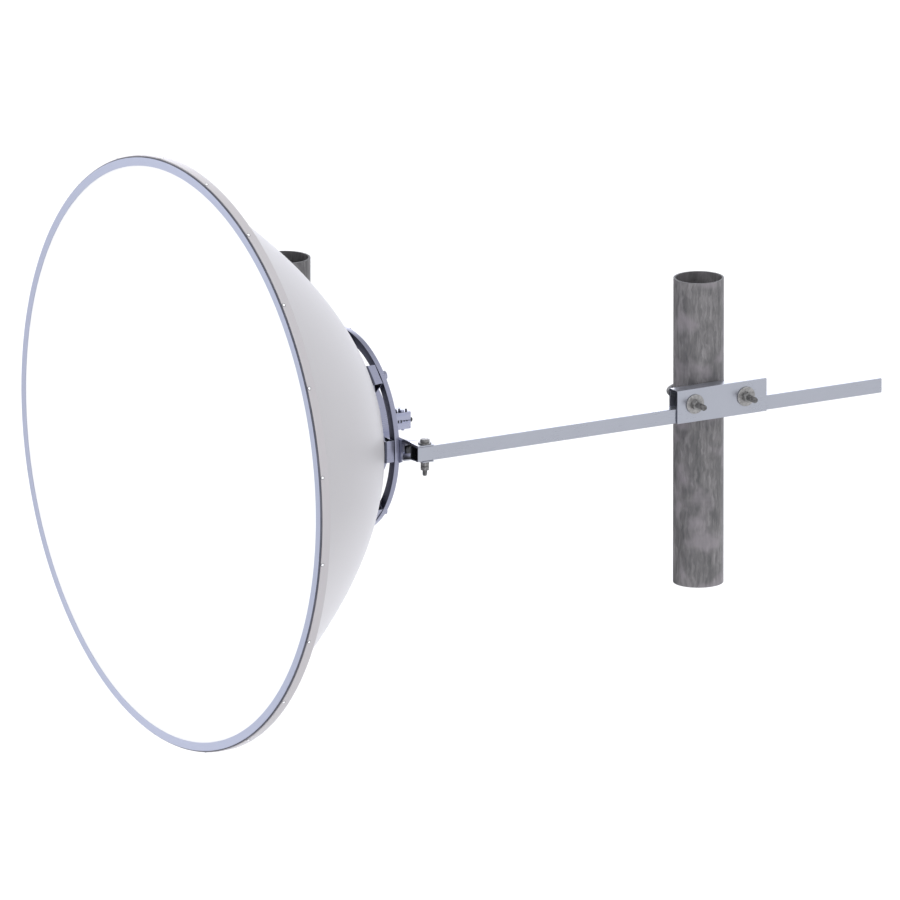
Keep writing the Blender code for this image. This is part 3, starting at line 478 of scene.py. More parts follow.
class Shape:
    """Closed forms gathered into one mesh, in the dish's coordinates."""

    def __init__(self):
        self.points, self.faces = [], []

    def loops(self, rows, place=Matrix.Identity(4), closed=True):
        """Skins rings of local points; a row of one point is a pole."""
        index = []
        steps = max(len(row) for row in rows)
        for row in rows:
            start = len(self.points)
            self.points += [place @ Vector(point) for point in row]
            index.append([start] * steps if len(row) == 1 else list(range(start, start + steps)))
        pairs = list(zip(index, index[1:]))
        if closed:
            pairs.append((index[-1], index[0]))
        for a, b in pairs:
            for k in range(steps):
                n = (k + 1) % steps
                face = tuple(dict.fromkeys((a[k], a[n], b[n], b[k])))
                if len(face) > 2:
                    self.faces.append(face)
        return index

    def spin(self, profile, steps, place):
        """Turns a closed outline of (radius, height) round the local Z axis."""
        rows = []
        for radius, height in profile:
            if radius < 1e-7:
                rows.append([(0, 0, height)])
            else:
                angles = [2 * math.pi * k / steps for k in range(steps)]
                rows.append([(radius * math.cos(a), radius * math.sin(a), height) for a in angles])
        poles = len(rows[0]) == 1 and len(rows[-1]) == 1
        self.loops(rows, place, closed=not poles)

    def ring(self, outer, inner, low, high, steps, place, soft=0.0004):
        """Round bar, flat ring or, with no inner radius, a disc, with its corners rounded."""
        if inner:
            outline = softened([(outer, high), (outer, low), (inner, low), (inner, high)], soft)
        else:
            outline = [(0, high), (outer, high), (outer, low), (0, low)]
            outline = softened(outline, [0, soft, soft, 0])
        self.spin(outline, steps, place)

    def bar(self, outline, low, high, place, soft=0.0004):
        """Solid bar of a local XY outline, its end corners eased."""
        small = inset(outline, soft)
        rows = [[(x, y, z) for x, y in line] for line, z in (
            (small, low), (outline, low + soft), (outline, high - soft), (small, high))]
        index = self.loops(rows, place, closed=False)
        self.faces += [tuple(index[0]), tuple(reversed(index[-1]))]

    def hollow_bar(self, outer, inner, low, high, place, soft=0.0003):
        """Tube between two outlines with as many points each, open at both ends."""
        lines = (
            (inset(outer, soft), low), (outer, low + soft), (outer, high - soft), (inset(outer, soft), high),
            (inset(inner, -soft), high), (inner, high - soft), (inner, low + soft), (inset(inner, -soft), low),
        )
        self.loops([[(x, y, z) for x, y in line] for line, z in lines], place)

    def hexagon(self, size, low, high, place, bore=None, turn=0.0):
        """Nut or bolt head with its corners turned down at both ends."""
        half = size[1] / 2
        flat = half * 0.96
        steps = SMALL_STEPS
        lean = math.tan(math.radians(30))

        def edge(k):
            around = (k * 360 / steps) % 60 - 30
            return half / math.cos(math.radians(around))

        def row(radius, height, sign=0):
            made = []
            for k in range(steps):
                a = 2 * math.pi * k / steps + turn
                r = edge(k) if radius is None else radius
                h = height + (sign * (edge(k) - flat) * lean if radius is None else 0)
                made.append((r * math.cos(a), r * math.sin(a), h))
            return made

        rows = [row(flat, low), row(None, low, 1), row(None, high, -1), row(flat, high)]
        if bore:
            ease = 0.0006
            rows += [row(bore + ease, high), row(bore, high - ease), row(bore, low + ease), row(bore + ease, low)]
            self.loops(rows, place)
        else:
            self.loops([[(0, 0, low)]] + rows + [[(0, 0, high)]], place, closed=False)

    def thread(self, size, low, high, place):
        """Helical ridge round a rod's thinner core."""
        rod, pitch = size[0], size[3]
        root = rod - 0.62 * pitch
        turns = (high - low) / pitch
        count = max(8, int(turns * 18))
        rows = []
        for k in range(count + 1):
            a = 2 * math.pi * turns * k / count
            h = low + (high - low) * k / count
            fade = min(1.0, k / 12, (count - k) / 12)
            crest = root + (rod - root) * fade
            ridge = ((root - 0.0001, -0.46 * pitch), (crest, -0.06 * pitch), (crest, 0.06 * pitch), (root - 0.0001, 0.46 * pitch))
            rows.append([(r * math.cos(a), r * math.sin(a), h + dz) for r, dz in ridge])
        index = self.loops(rows, place, closed=False)
        self.faces += [tuple(index[0]), tuple(reversed(index[-1]))]

    def stud(self, size, low, high, place, threaded=0.0):
        """Round rod with a chamfered tip, threaded over the last length of it."""
        rod, pitch = size[0], size[3]
        root = rod - 0.55 * pitch
        ease = 0.0010
        if threaded:
            turn = high - threaded
            profile = [(0, high), (root - ease, high), (root, high - ease), (root, turn), (rod, turn - ease), (rod, low), (0, low)]
            self.spin(profile, SMALL_STEPS, place)
            self.thread(size, turn + 0.5 * pitch, high - ease - 0.4 * pitch, place)
        else:
            self.spin([(0, high), (rod - ease, high), (rod, high - ease), (rod, low), (0, low)], SMALL_STEPS, place)

    def rod(self, path, radii, steps=SMALL_STEPS):
        """Round rod along a path, with a radius at each point."""
        points = [Vector(p) for p in path]
        rows = [[tuple(points[0])]]
        side = None
        for i, here in enumerate(points):
            along = (points[min(i + 1, len(points) - 1)] - points[max(i - 1, 0)]).normalized()
            if side is None:
                side = along.orthogonal().normalized()
            side = (side - along * side.dot(along)).normalized()
            other = along.cross(side)
            angles = [2 * math.pi * k / steps for k in range(steps)]
            rows.append([tuple(here + (side * math.cos(a) + other * math.sin(a)) * radii[i]) for a in angles])
        rows.append([tuple(points[-1])])
        self.loops(rows, closed=False)

    def weld(self, path, radius):
        """Weld bead round a closed path, rippled along its length."""
        points = [Vector(p) for p in path]
        count = len(points)
        rows = []
        for i, here in enumerate(points):
            along = (points[(i + 1) % count] - points[i - 1]).normalized()
            side = along.orthogonal().normalized() if i == 0 else (side - along * side.dot(along)).normalized()
            other = along.cross(side)
            swell = radius * (1 + 0.12 * math.sin(i * 2.4))
            rows.append([tuple(here + (side * math.cos(a) + other * math.sin(a)) * swell)
                         for a in (2 * math.pi * k / 10 for k in range(10))])
        self.loops(rows, closed=True)

    def solid_copy(self, node, soft):
        """A CAD node's own form, merged, with its sharp edges rounded."""
        work = bmesh.new()
        work.from_mesh(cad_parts[node].data)
        bmesh.ops.remove_doubles(work, verts=work.verts, dist=1e-5)
        bmesh.ops.dissolve_limit(work, angle_limit=math.radians(1), verts=work.verts, edges=work.edges)
        sharp = [e for e in work.edges if len(e.link_faces) == 2 and e.calc_face_angle() > math.radians(35)]
        bmesh.ops.bevel(work, geom=sharp, offset=soft, segments=2, profile=0.5, affect="EDGES", clamp_overlap=True)
        base = len(self.points)
        work.verts.index_update()
        self.points += [v.co - CENTRE for v in work.verts]
        self.faces += [tuple(base + v.index for v in face.verts) for face in work.faces]
        work.free()


def as_mesh(name, shape):
    mesh = bpy.data.meshes.new(name)
    mesh.from_pydata([point + CENTRE for point in shape.points], [], shape.faces)
    work = bmesh.new()
    work.from_mesh(mesh)
    bmesh.ops.recalc_face_normals(work, faces=work.faces)
    work.to_mesh(mesh)
    work.free()
    return mesh


def place_piece(name, mesh, slot, nodes=(), material=None, smooth=32):
    """Links a finished mesh as a piece of the antenna that stands for these CAD nodes."""
    mesh.materials.clear()
    mesh.materials.append(material or FINISHES[slot])
    mesh.shade_smooth()
    mesh.set_sharp_from_angle(angle=math.radians(smooth))
    piece = bpy.data.objects.new(name, mesh)
    bpy.context.scene.collection.objects.link(piece)
    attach(piece, "root")
    if nodes:
        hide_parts(*nodes)
    return piece


def add_piece(name, shape, slot, nodes=(), **more):
    return place_piece(name, as_mesh(name, shape), slot, nodes, **more)


# ---------------------------------------------------------------- geometry nodes

def grown(name, build, sizes, material):
    """Runs a geometry tree with named sizes and gives its result as a plain mesh."""
    tree = bpy.data.node_groups.new(name, "GeometryNodeTree")
    tree.interface.new_socket("Geometry", in_out="OUTPUT", socket_type="NodeSocketGeometry")
    kinds = {int: "NodeSocketInt", float: "NodeSocketFloat", bpy.types.Object: "NodeSocketObject"}
    sockets = {}
    for label, value in sizes.items():
        sockets[label] = tree.interface.new_socket(label, in_out="INPUT", socket_type=kinds[type(value)]).identifier
    graph = Graph(tree)
    made = build(graph, graph.node("NodeGroupInput"))
    put = graph.node("GeometryNodeTransform", {}, {"Geometry": made, "Translation": tuple(CENTRE)})
    real = graph.node("GeometryNodeRealizeInstances", {}, {"Geometry": put})
    painted = graph.node("GeometryNodeSetMaterial", {}, {"Geometry": real, "Material": material})
    graph.node("NodeGroupOutput", {}, {0: painted})
    carrier = bpy.data.objects.new(name, bpy.data.meshes.new(name))
    bpy.context.scene.collection.objects.link(carrier)
    modifier = carrier.modifiers.new(name, "NODES")
    modifier.node_group = tree
    for label, value in sizes.items():
        modifier[sockets[label]] = value
    bpy.context.view_layer.update()
    mesh = bpy.data.meshes.new_from_object(carrier.evaluated_get(bpy.context.evaluated_depsgraph_get()))
    carrier.modifiers.clear()
    bpy.data.objects.remove(carrier)
    return mesh


def spun_sheet(graph, sizes):
    """Reflector: a closed skin over both faces of a sheet whose outer face is a paraboloid."""
    around = sizes["Steps round"]
    grid = graph.node("GeometryNodeMeshGrid", {}, {
        "Size X": 1.0, "Size Y": 1.0, "Vertices X": sizes["Rings"], "Vertices Y": around})
    x, y, _ = graph.split(graph.node("GeometryNodeInputPosition")[0])
    along = (x + 0.5) * 2.0
    inner = graph.math("GREATER_THAN", along, 1.0 + 1e-5)
    share = graph.math("PINGPONG", along, 1.0)
    radius = sizes["Hole"] + share * (sizes["Mouth"] - sizes["Hole"])
    height = sizes["Vertex"] - radius * radius / (4.0 * sizes["Focal length"])
    slope = radius / (2.0 * sizes["Focal length"])
    lean = (slope * slope + 1.0) ** 0.5
    radius = radius - inner * sizes["Sheet"] * slope / lean
    height = height - inner * sizes["Sheet"] / lean
    angle = (y + 0.5) * 2.0 * math.pi
    spot = graph.joined(radius * graph.math("COSINE", angle), height, radius * graph.math("SINE", angle))
    moved = graph.node("GeometryNodeSetPosition", {}, {"Geometry": grid, "Position": spot})
    return graph.node("GeometryNodeMergeByDistance", {}, {"Geometry": moved, "Distance": 1e-5})


def on_a_circle(graph, sizes):
    """Copies of one fastener on a circle round the dish's axis, each facing outwards or back."""
    ring = graph.node("GeometryNodeMeshCircle", {}, {"Vertices": sizes["Count"], "Radius": sizes["Radius"]})
    number = graph.node("GeometryNodeInputIndex")[0]
    angle = number * (2.0 * math.pi) / sizes["Count"] + sizes["Start"]
    spot = graph.joined(sizes["Radius"] * graph.math("SINE", angle), sizes["Height"],
                        sizes["Radius"] * graph.math("COSINE", angle))
    moved = graph.node("GeometryNodeSetPosition", {}, {"Geometry": ring, "Position": spot})
    seed = graph.node("GeometryNodeObjectInfo", {}, {"Object": sizes["Piece"]})["Geometry"]
    turn = graph.joined(0.0, angle, 0.0)
    return graph.node("GeometryNodeInstanceOnPoints", {}, {"Points": moved, "Instance": seed, "Rotation": turn})


def template(name, shape):
    """A piece drawn at the dish's centre, for copies; it is taken out of the scene afterwards."""
    mesh = as_mesh(name, shape)
    mesh.transform(Matrix.Translation(-CENTRE))
    made = bpy.data.objects.new(name, mesh)
    bpy.context.scene.collection.objects.link(made)
    return made


def dish_radius(y):
    return math.sqrt(4 * FOCAL_LENGTH * (VERTEX_Y - y))


def dish_y(radius):
    return VERTEX_Y - radius ** 2 / (4 * FOCAL_LENGTH)


# ---------------------------------------------------------------- dish

def add_dish():
    mouth = dish_radius(RIM_FLANGE_Y - REFLECTOR_SHEET)
    sizes = {
        "Rings": 121, "Steps round": 289, "Hole": REFLECTOR_HOLE, "Mouth": mouth,
        "Focal length": FOCAL_LENGTH, "Vertex": VERTEX_Y, "Sheet": REFLECTOR_SHEET,
    }
    mesh = grown("reflector_bowl", spun_sheet, sizes, FINISHES["reflector_paint"])
    work = bmesh.new()
    work.from_mesh(mesh)
    bmesh.ops.remove_doubles(work, verts=work.verts, dist=1e-5)
    bmesh.ops.holes_fill(work, edges=[e for e in work.edges if e.is_boundary], sides=0)
    bmesh.ops.recalc_face_normals(work, faces=work.faces)
    work.to_mesh(mesh)
    work.free()
    place_piece("reflector_bowl", mesh, "reflector_paint", ["reflector"])

    flange = Shape()
    outer = RIM_RADIUS - BAND_SHEET - GAP
    front = RIM_FLANGE_Y - REFLECTOR_SHEET
    outline = [(outer, RIM_FLANGE_Y), (outer, front), (mouth + 2 * GAP, front), (dish_radius(RIM_FLANGE_Y) + 2 * GAP, RIM_FLANGE_Y)]
    flange.spin(softened(outline, 0.0004), FINE_STEPS, DISH_AXIS)
    add_piece("reflector_flange", flange, "reflector_paint", ["rim_flange"])

    cover = Shape()
    cover.ring(GASKET_INNER - GAP, 0, COVER_FRONT_Y, COVER_BACK_Y, FINE_STEPS, DISH_AXIS, 0.0006)
    add_piece("front_cover", cover, "cover_white", ["cover_sheet"])
    ring = Shape()
    ring.ring(RING_OUTER, RING_INNER, 0, RING_SHEET, FINE_STEPS, DISH_AXIS, 0.0004)
    add_piece("front_ring", ring, "ring_paint", ["cover_ring"])
    gasket = Shape()
    gasket.ring(GASKET_OUTER, GASKET_INNER, COVER_FRONT_Y, COVER_BACK_Y, FINE_STEPS, DISH_AXIS, 0.0008)
    add_piece("rim_gasket", gasket, "gasket_rubber", ["gasket"])

    band = Shape()
    inside = RIM_RADIUS - BAND_SHEET
    outline = [
        (RIM_RADIUS, BAND_BACK_Y), (RIM_RADIUS, BAND_FRONT_Y), (BAND_LIP_INNER, BAND_FRONT_Y),
        (BAND_LIP_INNER, BAND_FRONT_Y + BAND_SHEET), (inside, BAND_FRONT_Y + BAND_SHEET), (inside, BAND_BACK_Y),
    ]
    band.spin(softened(outline, [0.0006, 0.0012, 0.0005, 0.0005, 0.0002, 0.0003]), FINE_STEPS, DISH_AXIS)
    add_piece("rim_band_strip", band, "band_paint", ["rim_band"])

    dome = [(0, 0.0014), (0.0010, 0.00133), (0.0020, 0.00100), (0.0027, 0.0005), (0.0030, 0.0), (0.0030, -0.0006), (0, -0.0006)]
    shadow = [(0, 0.00012), (0.0038, 0.00012), (0.0040, -0.0004), (0, -0.0004)]
    # The second set is thin dark discs just wider than the rivet heads, a painted shadow round each head.
    for name, profile, slot in (("rim_rivets", dome, "cover_white"), ("rivet_seals", shadow, "gasket_rubber")):
        head = Shape()
        head.spin(profile, 20, Matrix.Identity(4))
        rivet = template(name, head)
        sizes = {
            "Count": RIVET_COUNT, "Radius": RIM_RADIUS, "Start": RIVET_START, "Height": RIVET_Y, "Piece": rivet,
        }
        mesh = grown(name, on_a_circle, sizes, FINISHES[slot])
        bpy.data.objects.remove(rivet)
        place_piece(name, mesh, slot)


def add_hub_and_feed():
    hub = Shape()
    inner, ceiling = HUB_RADIUS - HUB_WALL, HUB_BACK_Y - HUB_SHEET
    outline = [
        (0, HUB_BACK_Y), (HUB_RADIUS, HUB_BACK_Y), (HUB_RADIUS, dish_y(HUB_RADIUS) + 2 * GAP),
        (inner, dish_y(inner) + 2 * GAP), (inner, ceiling), (0, ceiling),
    ]
    hub.spin(softened(outline, [0, 0.003, 0.0004, 0.0004, 0.001, 0]), FINE_STEPS, DISH_AXIS)
    add_piece("hub_cover", hub, "coated_steel", ["hub_cap"])

    feed = Shape()
    collar = FEED_TUBE_RADIUS + 0.006
    tube = FEED_TUBE_RADIUS
    low, high = HUB_BACK_Y + GAP, FEED_TUBE_END_Y - GAP
    outline = [(0, high), (tube, high), (tube, low + 0.008), (collar, low + 0.008), (collar, low), (0, low)]
    feed.spin(softened(outline, [0, 0.0004, 0.0015, 0.0008, 0.0004, 0]), PIPE_STEPS, DISH_AXIS)
    add_piece("feed_neck", feed, "coated_steel", ["feed_tube"])

    for node, name, soft in (
        ("feed_flange", "feed_plate", 0.0004), ("feed_block_lower", "feed_body_lower", 0.0005),
        ("feed_block_upper", "feed_body_upper", 0.0005),
    ):
        block = Shape()
        block.solid_copy(node, soft)
        add_piece(name, block, "coated_steel", [node])

    screws = Shape()
    top = FEED_Z + 0.0175
    side = 0.0215
    for x, y, tall in ((0.0136, 0.522, 0.0065), (0.0204, 0.534, 0.0065)):
        screws.spin(softened([(0, tall), (0.0021, tall), (0.0021, 0), (0, 0)], [0, 0.0005, 0.0003, 0]), 20, facing((x - 0.0015, y, top), ALONG_Z))
    screws.stud((0.0020, 0.004, 0.002, 0.0005), 0, 0.0082, facing((0.0165, 0.5140, top - 0.001), (-0.45, -0.10, 0.88)))
    # Dark marks along the seam, as four thin black patches on the block's side.
    for y, radius in ((0.5150, 0.0013), (0.5212, 0.0015), (0.5285, 0.0012), (0.5345, 0.0012)):
        low, high = (-0.0032, 0.0024) if y < 0.525 else (-0.0012, 0.0012)
        slot = softened(rectangle(-radius, radius, low, high), 0.0008)
        screws.bar(slot, 0.0002, 0.0011, Matrix(((0, 0, 1, side), (1, 0, 0, y), (0, 1, 0, FEED_Z), (0, 0, 0, 1))), 0.0002)
    screws.hexagon((0.0030, 0.0085, 0.003, 0.0005), 0, 0.0050, facing((0.0150, FEED_BLOCK_END_Y, FEED_Z - 0.0005), ALONG_Y))
    half = 0.0195
    for x in (-half, half):
        for z in (FEED_Z - half, FEED_Z + half):
            screws.hexagon((0.0025, 0.006, 0.003, 0.0005), 0, 0.003, facing((x, FEED_TUBE_END_Y + FEED_FLANGE_SHEET, z), ALONG_Y))
    add_piece("feed_screws", screws, "bolt_zinc", material=BLACK_SCREW)
    boss = Shape()
    boss.ring(0.0048, 0, 0, 0.0048, 24, facing((0.0155, 0.5255, top), ALONG_Z), 0.0010)
    boss.ring(0.0032, 0, 0, 0.0030, 24, facing((0.0165, 0.5280, FEED_Z - 0.0175), -ALONG_Z), 0.0010)
    # Cover strip over the seam's front half.
    boss.bar(softened(rectangle(0.4980, 0.5235, -0.0016, 0.0016), 0.0005), side, side + 0.0004,
             Matrix(((0, 0, 1, 0), (1, 0, 0, 0), (0, 1, 0, FEED_Z), (0, 0, 0, 1))), 0.0001)
    add_piece("feed_fittings", boss, "coated_steel")


def add_back_ring():
    ring = Shape()
    ring.ring(BACK_RING_OUTER, BACK_RING_INNER, BACK_RING_FRONT_Y, BACK_RING_BACK_Y, FINE_STEPS, DISH_AXIS, 0.0007)
    add_piece("back_ring_plate", ring, "coated_steel", ["back_ring"])

    back = BACK_RING_FRONT_Y - GAP
    outer = [
        (WEDGE_INNER, dish_y(WEDGE_INNER) + WEDGE_SEAT), (WEDGE_OUTER, dish_y(WEDGE_OUTER) + WEDGE_SEAT),
        (WEDGE_OUTER, back), (WEDGE_INNER, back),
    ]
    start, end = WEDGE_INNER + 3 * WEDGE_WALL, WEDGE_OUTER - WEDGE_WALL
    hollow = [
        (start, dish_y(start) + WEDGE_SEAT + WEDGE_WALL), (end, dish_y(end) + WEDGE_SEAT + WEDGE_WALL),
        (end, back - WEDGE_WALL), (start, back - WEDGE_WALL),
    ]
    outer, hollow = softened(outer, 0.0016), softened(hollow, 0.0005)
    wedge = Shape()
    # Local X and Y of the outline become the outward direction and the dish's axis.
    upright = Matrix(((0, 0, -1, 0), (0, 1, 0, 0), (1, 0, 0, 0), (0, 0, 0, 1)))
    wedge.hollow_bar(outer, hollow, -WEDGE_LENGTH / 2, WEDGE_LENGTH / 2, upright)
    seed = template("wedge", wedge)
    sizes = {"Count": WEDGE_COUNT, "Radius": 0.0, "Start": 0.0, "Height": 0.0, "Piece": seed}
    mesh = grown("ring_wedges", on_a_circle, sizes, FINISHES["coated_steel"])
    bpy.data.objects.remove(seed)
    place_piece("ring_wedges", mesh, "coated_steel", [f"spacer_{n + 1}" for n in range(WEDGE_COUNT)])

    bolts = Shape()
    for number in range(1, WEDGE_COUNT):
        angle = 2 * math.pi * number / WEDGE_COUNT
        face = BACK_RING_BACK_Y + (GAP + FRAME_SHEET if number in (3, 5) else 0)
        place = facing((RING_BOLT_RADIUS * math.cos(angle), face, RING_BOLT_RADIUS * math.sin(angle)), ALONG_Y, 0.4 * number)
        bolts.ring(0.0095, 0, 0, 0.0014, SMALL_STEPS, place)
        bolts.hexagon(M10, 0.0010, 0.0078, place)
    add_piece("ring_bolts", bolts, "coated_steel")


# ---------------------------------------------------------------- strut

def add_bracket():
    bracket = Shape()
    bracket.solid_copy("strut_bracket", 0.0001)
    # Gusset between the slanted ear and the shoe.
    # Its outline is in the object's Y and Z, and it runs along X.
    bracket.bar([(0.4118, 0.0160), (0.4225, 0.0160), (0.4127, 0.0230), (0.4118, 0.0230)], 0.2158, 0.2276,
                Matrix(((0, 0, 1, 0), (1, 0, 0, 0), (0, 1, 0, 0), (0, 0, 0, 1))), 0.0002)
    add_piece("bent_bracket", bracket, "coated_steel", ["strut_bracket"], material=BRACKET_STEEL)

    bolt = Shape()
    face = BACK_RING_BACK_Y + GAP + BRACKET_SHEET
    place = facing((RING_BOLT_RADIUS, face, 0), ALONG_Y)
    bolt.hexagon(M10, GAP, GAP + 0.008, place, M10[0] - 0.0004)
    bolt.stud(M10, BACK_RING_FRONT_Y + GAP - face, 0.025, place, 0.016)
    add_piece("bracket_stud", bolt, "bolt_zinc", ["bracket_bolt"], material=NUT_ZINC)

    ear = STRUT_SIDE / 2 + GAP + BRACKET_SHEET
    pivot = Shape()
    place = facing((STRUT_X, PIVOT_Y, 0), ALONG_Z)
    low = ear + GAP
    pivot.ring(0.0135, 0.0052, low, low + 0.002, 48, place)
    pivot.ring(0.0090, 0.0052, low + 0.002, low + 0.0034, 48, place)
    pivot.hexagon(M10, low + 0.0034, low + 0.0088, place, turn=math.radians(15))
    down = facing((STRUT_X, PIVOT_Y, 0), -ALONG_Z)
    pivot.stud(M10, -low - 0.003, 0.0485, down, 0.030)
    add_piece("pivot_pin", pivot, "bolt_zinc", ["pivot_bolt"])
    for name, node, start, height in (
        ("pivot_hex_nut", "pivot_nut", ear + GAP, 0.010), ("pivot_jam_nut", "pivot_lock_nut", ear + 2 * GAP + 0.010, 0.008),
    ):
        nut = Shape()
        nut.hexagon(M10, start, start + height, down, M10[0] - 0.0003)
        add_piece(name, nut, "bolt_zinc", [node])


def add_strut():
    half, inside = STRUT_SIDE / 2, STRUT_SIDE / 2 - STRUT_WALL
    outer = softened(rectangle(-half, half, -half, half), 0.0022, 5)
    inner = softened(rectangle(-inside, inside, -inside, inside), 0.0010, 5)
    strut = Shape()
    place = facing((STRUT_X, 0, 0), ALONG_Y)
    strut.hollow_bar(outer, inner, STRUT_START_Y, STRUT_END_Y, place)
    add_piece("side_strut", strut, "coated_steel", ["strut"])


def add_pipe(name, node, x, y):
    pipe = Shape()
    pipe.ring(PIPE_RADIUS, PIPE_RADIUS - PIPE_WALL, PIPE_FOOT_Z, PIPE_TOP_Z, PIPE_STEPS, facing((x, y, 0), ALONG_Z), 0.0006)
    add_piece(name, pipe, "pipe_galvanised", [node])


def add_u_bolt(name, node, x, y, z, tip):
    """Rod bent round a pipe, its two legs threaded towards +X."""
    bolt = Shape()
    rod, pitch = M12[0], M12[3]
    root = rod - 0.55 * pitch
    bend = x - PIPE_RADIUS - 2 * GAP - rod + U_BOLT_LEG
    threaded = 0.034
    path, radii = [], []
    half = [(tip, root - 0.001), (tip - 0.001, root), (tip - threaded, root), (tip - threaded - 0.001, rod), (bend + 0.001, rod)]
    for px, radius in half:
        path.append((px, y - U_BOLT_LEG, z)), radii.append(radius)
    turns = 40
    for i in range(turns + 1):
        a = -math.pi / 2 - math.pi * i / turns
        path.append((bend + U_BOLT_LEG * math.cos(a), y + U_BOLT_LEG * math.sin(a), z)), radii.append(rod)
    for px, radius in reversed(half):
        path.append((px, y + U_BOLT_LEG, z)), radii.append(radius)
    bolt.rod(path, radii, 24)
    for side in (-1, 1):
        place = facing((0, y + side * U_BOLT_LEG, z), ALONG_X)
        bolt.thread(M12, tip - threaded + 0.001, tip - 0.0016, place)
    add_piece(name, bolt, "bolt_zinc", [node], material=ROD_ZINC)


def add_clamp():
    back = STRUT_X + STRUT_SIDE / 2 + GAP
    front = back + CLAMP_SHEET
    foot = STRUT_SIDE / 2 + GAP
    under = CLAMP_TOP_Z - CLAMP_SHEET
    leg = CLAMP_BACK_X + CLAMP_SHEET
    outline = [
        (back, -foot), (front, -foot), (front, CLAMP_TOP_Z), (CLAMP_BACK_X, CLAMP_TOP_Z),
        (CLAMP_BACK_X, foot), (leg, foot), (leg, under), (back, under),
    ]
    outline = softened(outline, [0.0005, 0.0005, 0.0030, 0.0030, 0.0005, 0.0005, 0.0008, 0.0008])
    clamp = Shape()
    # Local X and Y of the outline become the object's X and Z.
    upright = Matrix(((1, 0, 0, 0), (0, 0, -1, 0), (0, 1, 0, 0), (0, 0, 0, 1)))
    clamp.bar(outline, -CLAMP_END_Y, -CLAMP_START_Y, upright, 0.0002)
    add_piece("clamp_channel", clamp, "coated_steel", ["strut_clamp"])
    add_u_bolt("strut_clamp_u_bolt", "strut_u_bolt", STRUT_PIPE_X, STRUT_PIPE_Y, STRUT_U_BOLT_Z, front + U_BOLT_STRUT_TIP)
    for number, side in ((1, -1), (2, 1)):
        place = facing((front, STRUT_PIPE_Y + side * U_BOLT_LEG, STRUT_U_BOLT_Z), ALONG_X, 0.1)
        washer = Shape()
        washer.ring(CLAMP_WASHER_RADIUS, M12[0] + GAP, GAP, GAP + 0.003, 64, place, 0.0007)
        add_piece(f"big_washer_{number}", washer, "bolt_zinc", [f"clamp_washer_{number}"], material=WASHER_ZINC)
        nut = Shape()
        nut.hexagon(M12, 2 * GAP + 0.003, 2 * GAP + 0.013, place, M12[0] - 0.0004)
        add_piece(f"clamp_hex_nut_{number}", nut, "bolt_zinc", [f"clamp_nut_{number}"])


# ---------------------------------------------------------------- frame on the main pipe

def add_frame():
    channel = Shape()
    channel.solid_copy("mount_channel", 0.0008)
    add_piece("frame_channel", channel, "coated_steel", ["mount_channel"])
    inner_face = FRAME_X - FRAME_WIDTH / 2 - GAP
    outer_face = SADDLE_WEB_X + GAP
    for level, side in (("upper", 1), ("lower", -1)):
        z = side * ARM_Z
        arm = Shape()
        arm.solid_copy(f"{level}_arm", 0.0008)
        half = ARM_SIDE / 2 + 0.0006
        square = softened(rectangle(-half, half, -half, half), 0.003, 6)
        for x in (inner_face - ARM_PLATE - 0.0004, outer_face + ARM_PLATE + 0.0004):
            dense = []
            for i, (u, v) in enumerate(square):
                following = Vector(square[(i + 1) % len(square)])
                here = Vector((u, v))
                cuts = max(1, int((following - here).length / 0.002))
                dense += [here.lerp(following, k / cuts) for k in range(cuts)]
            arm.weld([(x, ARM_Y + p.x, z + p.y) for p in dense], 0.0024)
        add_piece(f"{level}_arm_tube", arm, "coated_steel", [f"{level}_arm"])
        saddle = Shape()
        saddle.solid_copy(f"{level}_saddle", 0.0007)
        add_piece(f"{level}_saddle_channel", saddle, "coated_steel", [f"{level}_saddle"])
        add_u_bolt(f"{level}_pipe_u_bolt", f"{level}_u_bolt", MAIN_PIPE_X, MAIN_PIPE_Y, side * MAIN_U_BOLT_Z, SADDLE_WEB_X + U_BOLT_MAIN_TIP)
        bolts = Shape()
        for leg in (-1, 1):
            place = facing((SADDLE_WEB_X, MAIN_PIPE_Y + leg * U_BOLT_LEG, side * MAIN_U_BOLT_Z), ALONG_X, 0.3 * leg)
            bolts.ring(0.012, M12[0] + 0.0002, 0, 0.0025, 48, place)
            bolts.hexagon(M12, 0.0025, 0.0125, place, M12[0] - 0.0004)
        for y in (MAIN_PIPE_Y - 0.016, MAIN_PIPE_Y + 0.022):
            for dz in (-0.016, 0.016):
                place = facing((outer_face + ARM_PLATE, y, z + dz), ALONG_X, 20 * dz)
                bolts.ring(0.008, M8[0], 0, 0.0016, SMALL_STEPS, place)
                bolts.hexagon(M8, 0.0016, 0.0016 + M8[2], place, M8[0] - 0.0003)
                bolts.stud(M8, 0.0005, 0.013, place, 0.006)
        for dz in (-0.031, 0.031):
            for dy in (-0.012, 0.012):
                place = facing((inner_face - ARM_PLATE, ARM_Y + dy, z + dz), -ALONG_X, 12 * dz)
                bolts.ring(0.008, M8[0], 0, 0.0016, SMALL_STEPS, place)
                bolts.hexagon(M8, 0.0016, 0.0071, place)
        add_piece(f"{level}_arm_bolts", bolts, "bolt_zinc")


# ---------------------------------------------------------------- stage

AIM = CENTRE + Vector((0.27848, 0.48414, 0.00795))
TOWARDS_CAMERA = Vector((0.83421, -0.48754, 0.25768)).normalized()
LENS, SENSOR, CAMERA_DISTANCE = 1600.0, 36.0, 79.695


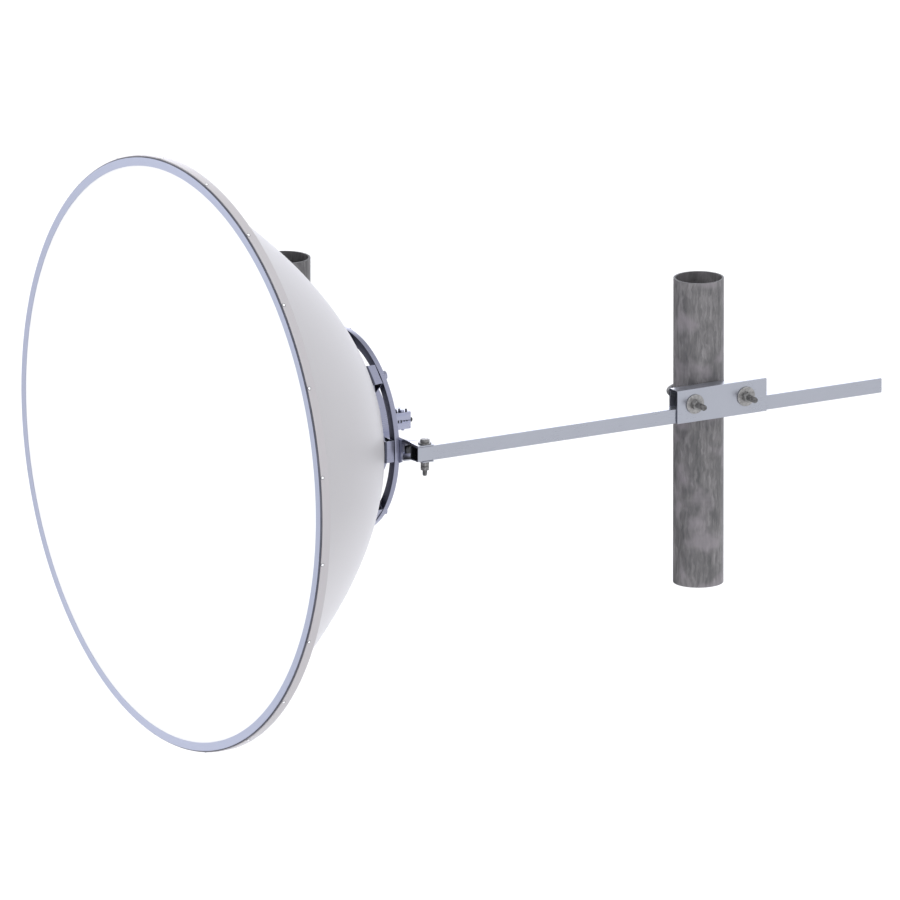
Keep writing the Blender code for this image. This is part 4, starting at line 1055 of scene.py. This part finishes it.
def add_camera():
    data = bpy.data.cameras.new("camera")
    data.lens, data.sensor_width, data.sensor_fit = LENS, SENSOR, "HORIZONTAL"
    data.clip_start, data.clip_end = 1.0, 300.0
    camera = bpy.data.objects.new("camera", data)
    camera.location = AIM + TOWARDS_CAMERA * CAMERA_DISTANCE
    camera.rotation_mode = "QUATERNION"
    camera.rotation_quaternion = (-TOWARDS_CAMERA).to_track_quat("-Z", "Y")
    bpy.context.scene.collection.objects.link(camera)
    bpy.context.scene.camera = camera


def add_sun(name, direction, strength, spread, colour=(1, 1, 1)):
    """Soft light that falls from this direction."""
    data = bpy.data.lights.new(name, "SUN")
    data.energy, data.angle, data.color = strength, math.radians(spread), colour
    light = bpy.data.objects.new(name, data)
    light.rotation_mode = "QUATERNION"
    light.rotation_quaternion = Vector(direction).to_track_quat("Z", "Y")
    bpy.context.scene.collection.objects.link(light)


def add_studio():
    """White sky that is brighter behind the object, two soft suns and a pale floor below it."""
    scene = bpy.context.scene
    scene.view_settings.view_transform = "Standard"
    scene.world = bpy.data.worlds.new("studio")
    scene.world.use_nodes = True
    graph = Graph(scene.world.node_tree)
    way = graph.node("ShaderNodeTexCoord")["Generated"]
    level = graph.split(way)[2]

    def towards(direction, low, high):
        """0 away from a direction, 1 close to it."""
        near = graph.node("ShaderNodeVectorMath", {"operation": "DOT_PRODUCT"}, {0: way, 1: direction})["Value"]
        return graph.between(near, low, high)

    glow = towards((-0.836, 0.485, 0.257), 0.93, 0.99)
    haze = towards((-0.857, 0.497, -0.08), 0.60, 0.97)
    shade = towards((-0.836, -0.485, -0.257), 0.50, 0.88) * graph.between(level, 0.12, -0.06)
    strength = (glow * 1.3 + haze * 0.9 + 1.10) * (1.0 - shade * 0.90)
    world = scene.world.node_tree.nodes["Background"]
    graph.join(strength, world.inputs["Strength"])
    graph.join(graph.blend(haze, (0.985, 0.99, 1.0), (0.90, 0.92, 1.0)), world.inputs["Color"])
    add_sun("top_light", (-0.25, -0.35, 0.90), 0.35, 50)
    add_sun("front_light", (0.10, -0.95, 0.30), 0.3, 40)

    mesh = bpy.data.meshes.new("floor")
    size, level = 60.0, -1.5
    mesh.from_pydata([(x, y, level) for x, y in ((-size, -size), (size, -size), (size, size), (-size, size))], [], [(0, 1, 2, 3)])
    floor = bpy.data.objects.new("floor", mesh)
    material = bpy.data.materials.new("pale_floor")
    material.use_nodes = True
    shader = material.node_tree.nodes["Principled BSDF"]
    shader.inputs["Base Color"].default_value = (0.90, 0.90, 0.91, 1)
    shader.inputs["Roughness"].default_value = 0.9
    mesh.materials.append(material)
    bpy.context.scene.collection.objects.link(floor)
    floor.visible_glossy = False


add_camera()
add_studio()
add_dish()
add_hub_and_feed()
add_back_ring()
add_bracket()
add_strut()
add_pipe("mast_pipe", "main_pipe", MAIN_PIPE_X, MAIN_PIPE_Y)
add_pipe("side_pipe", "strut_pipe", STRUT_PIPE_X, STRUT_PIPE_Y)
add_clamp()
add_frame()
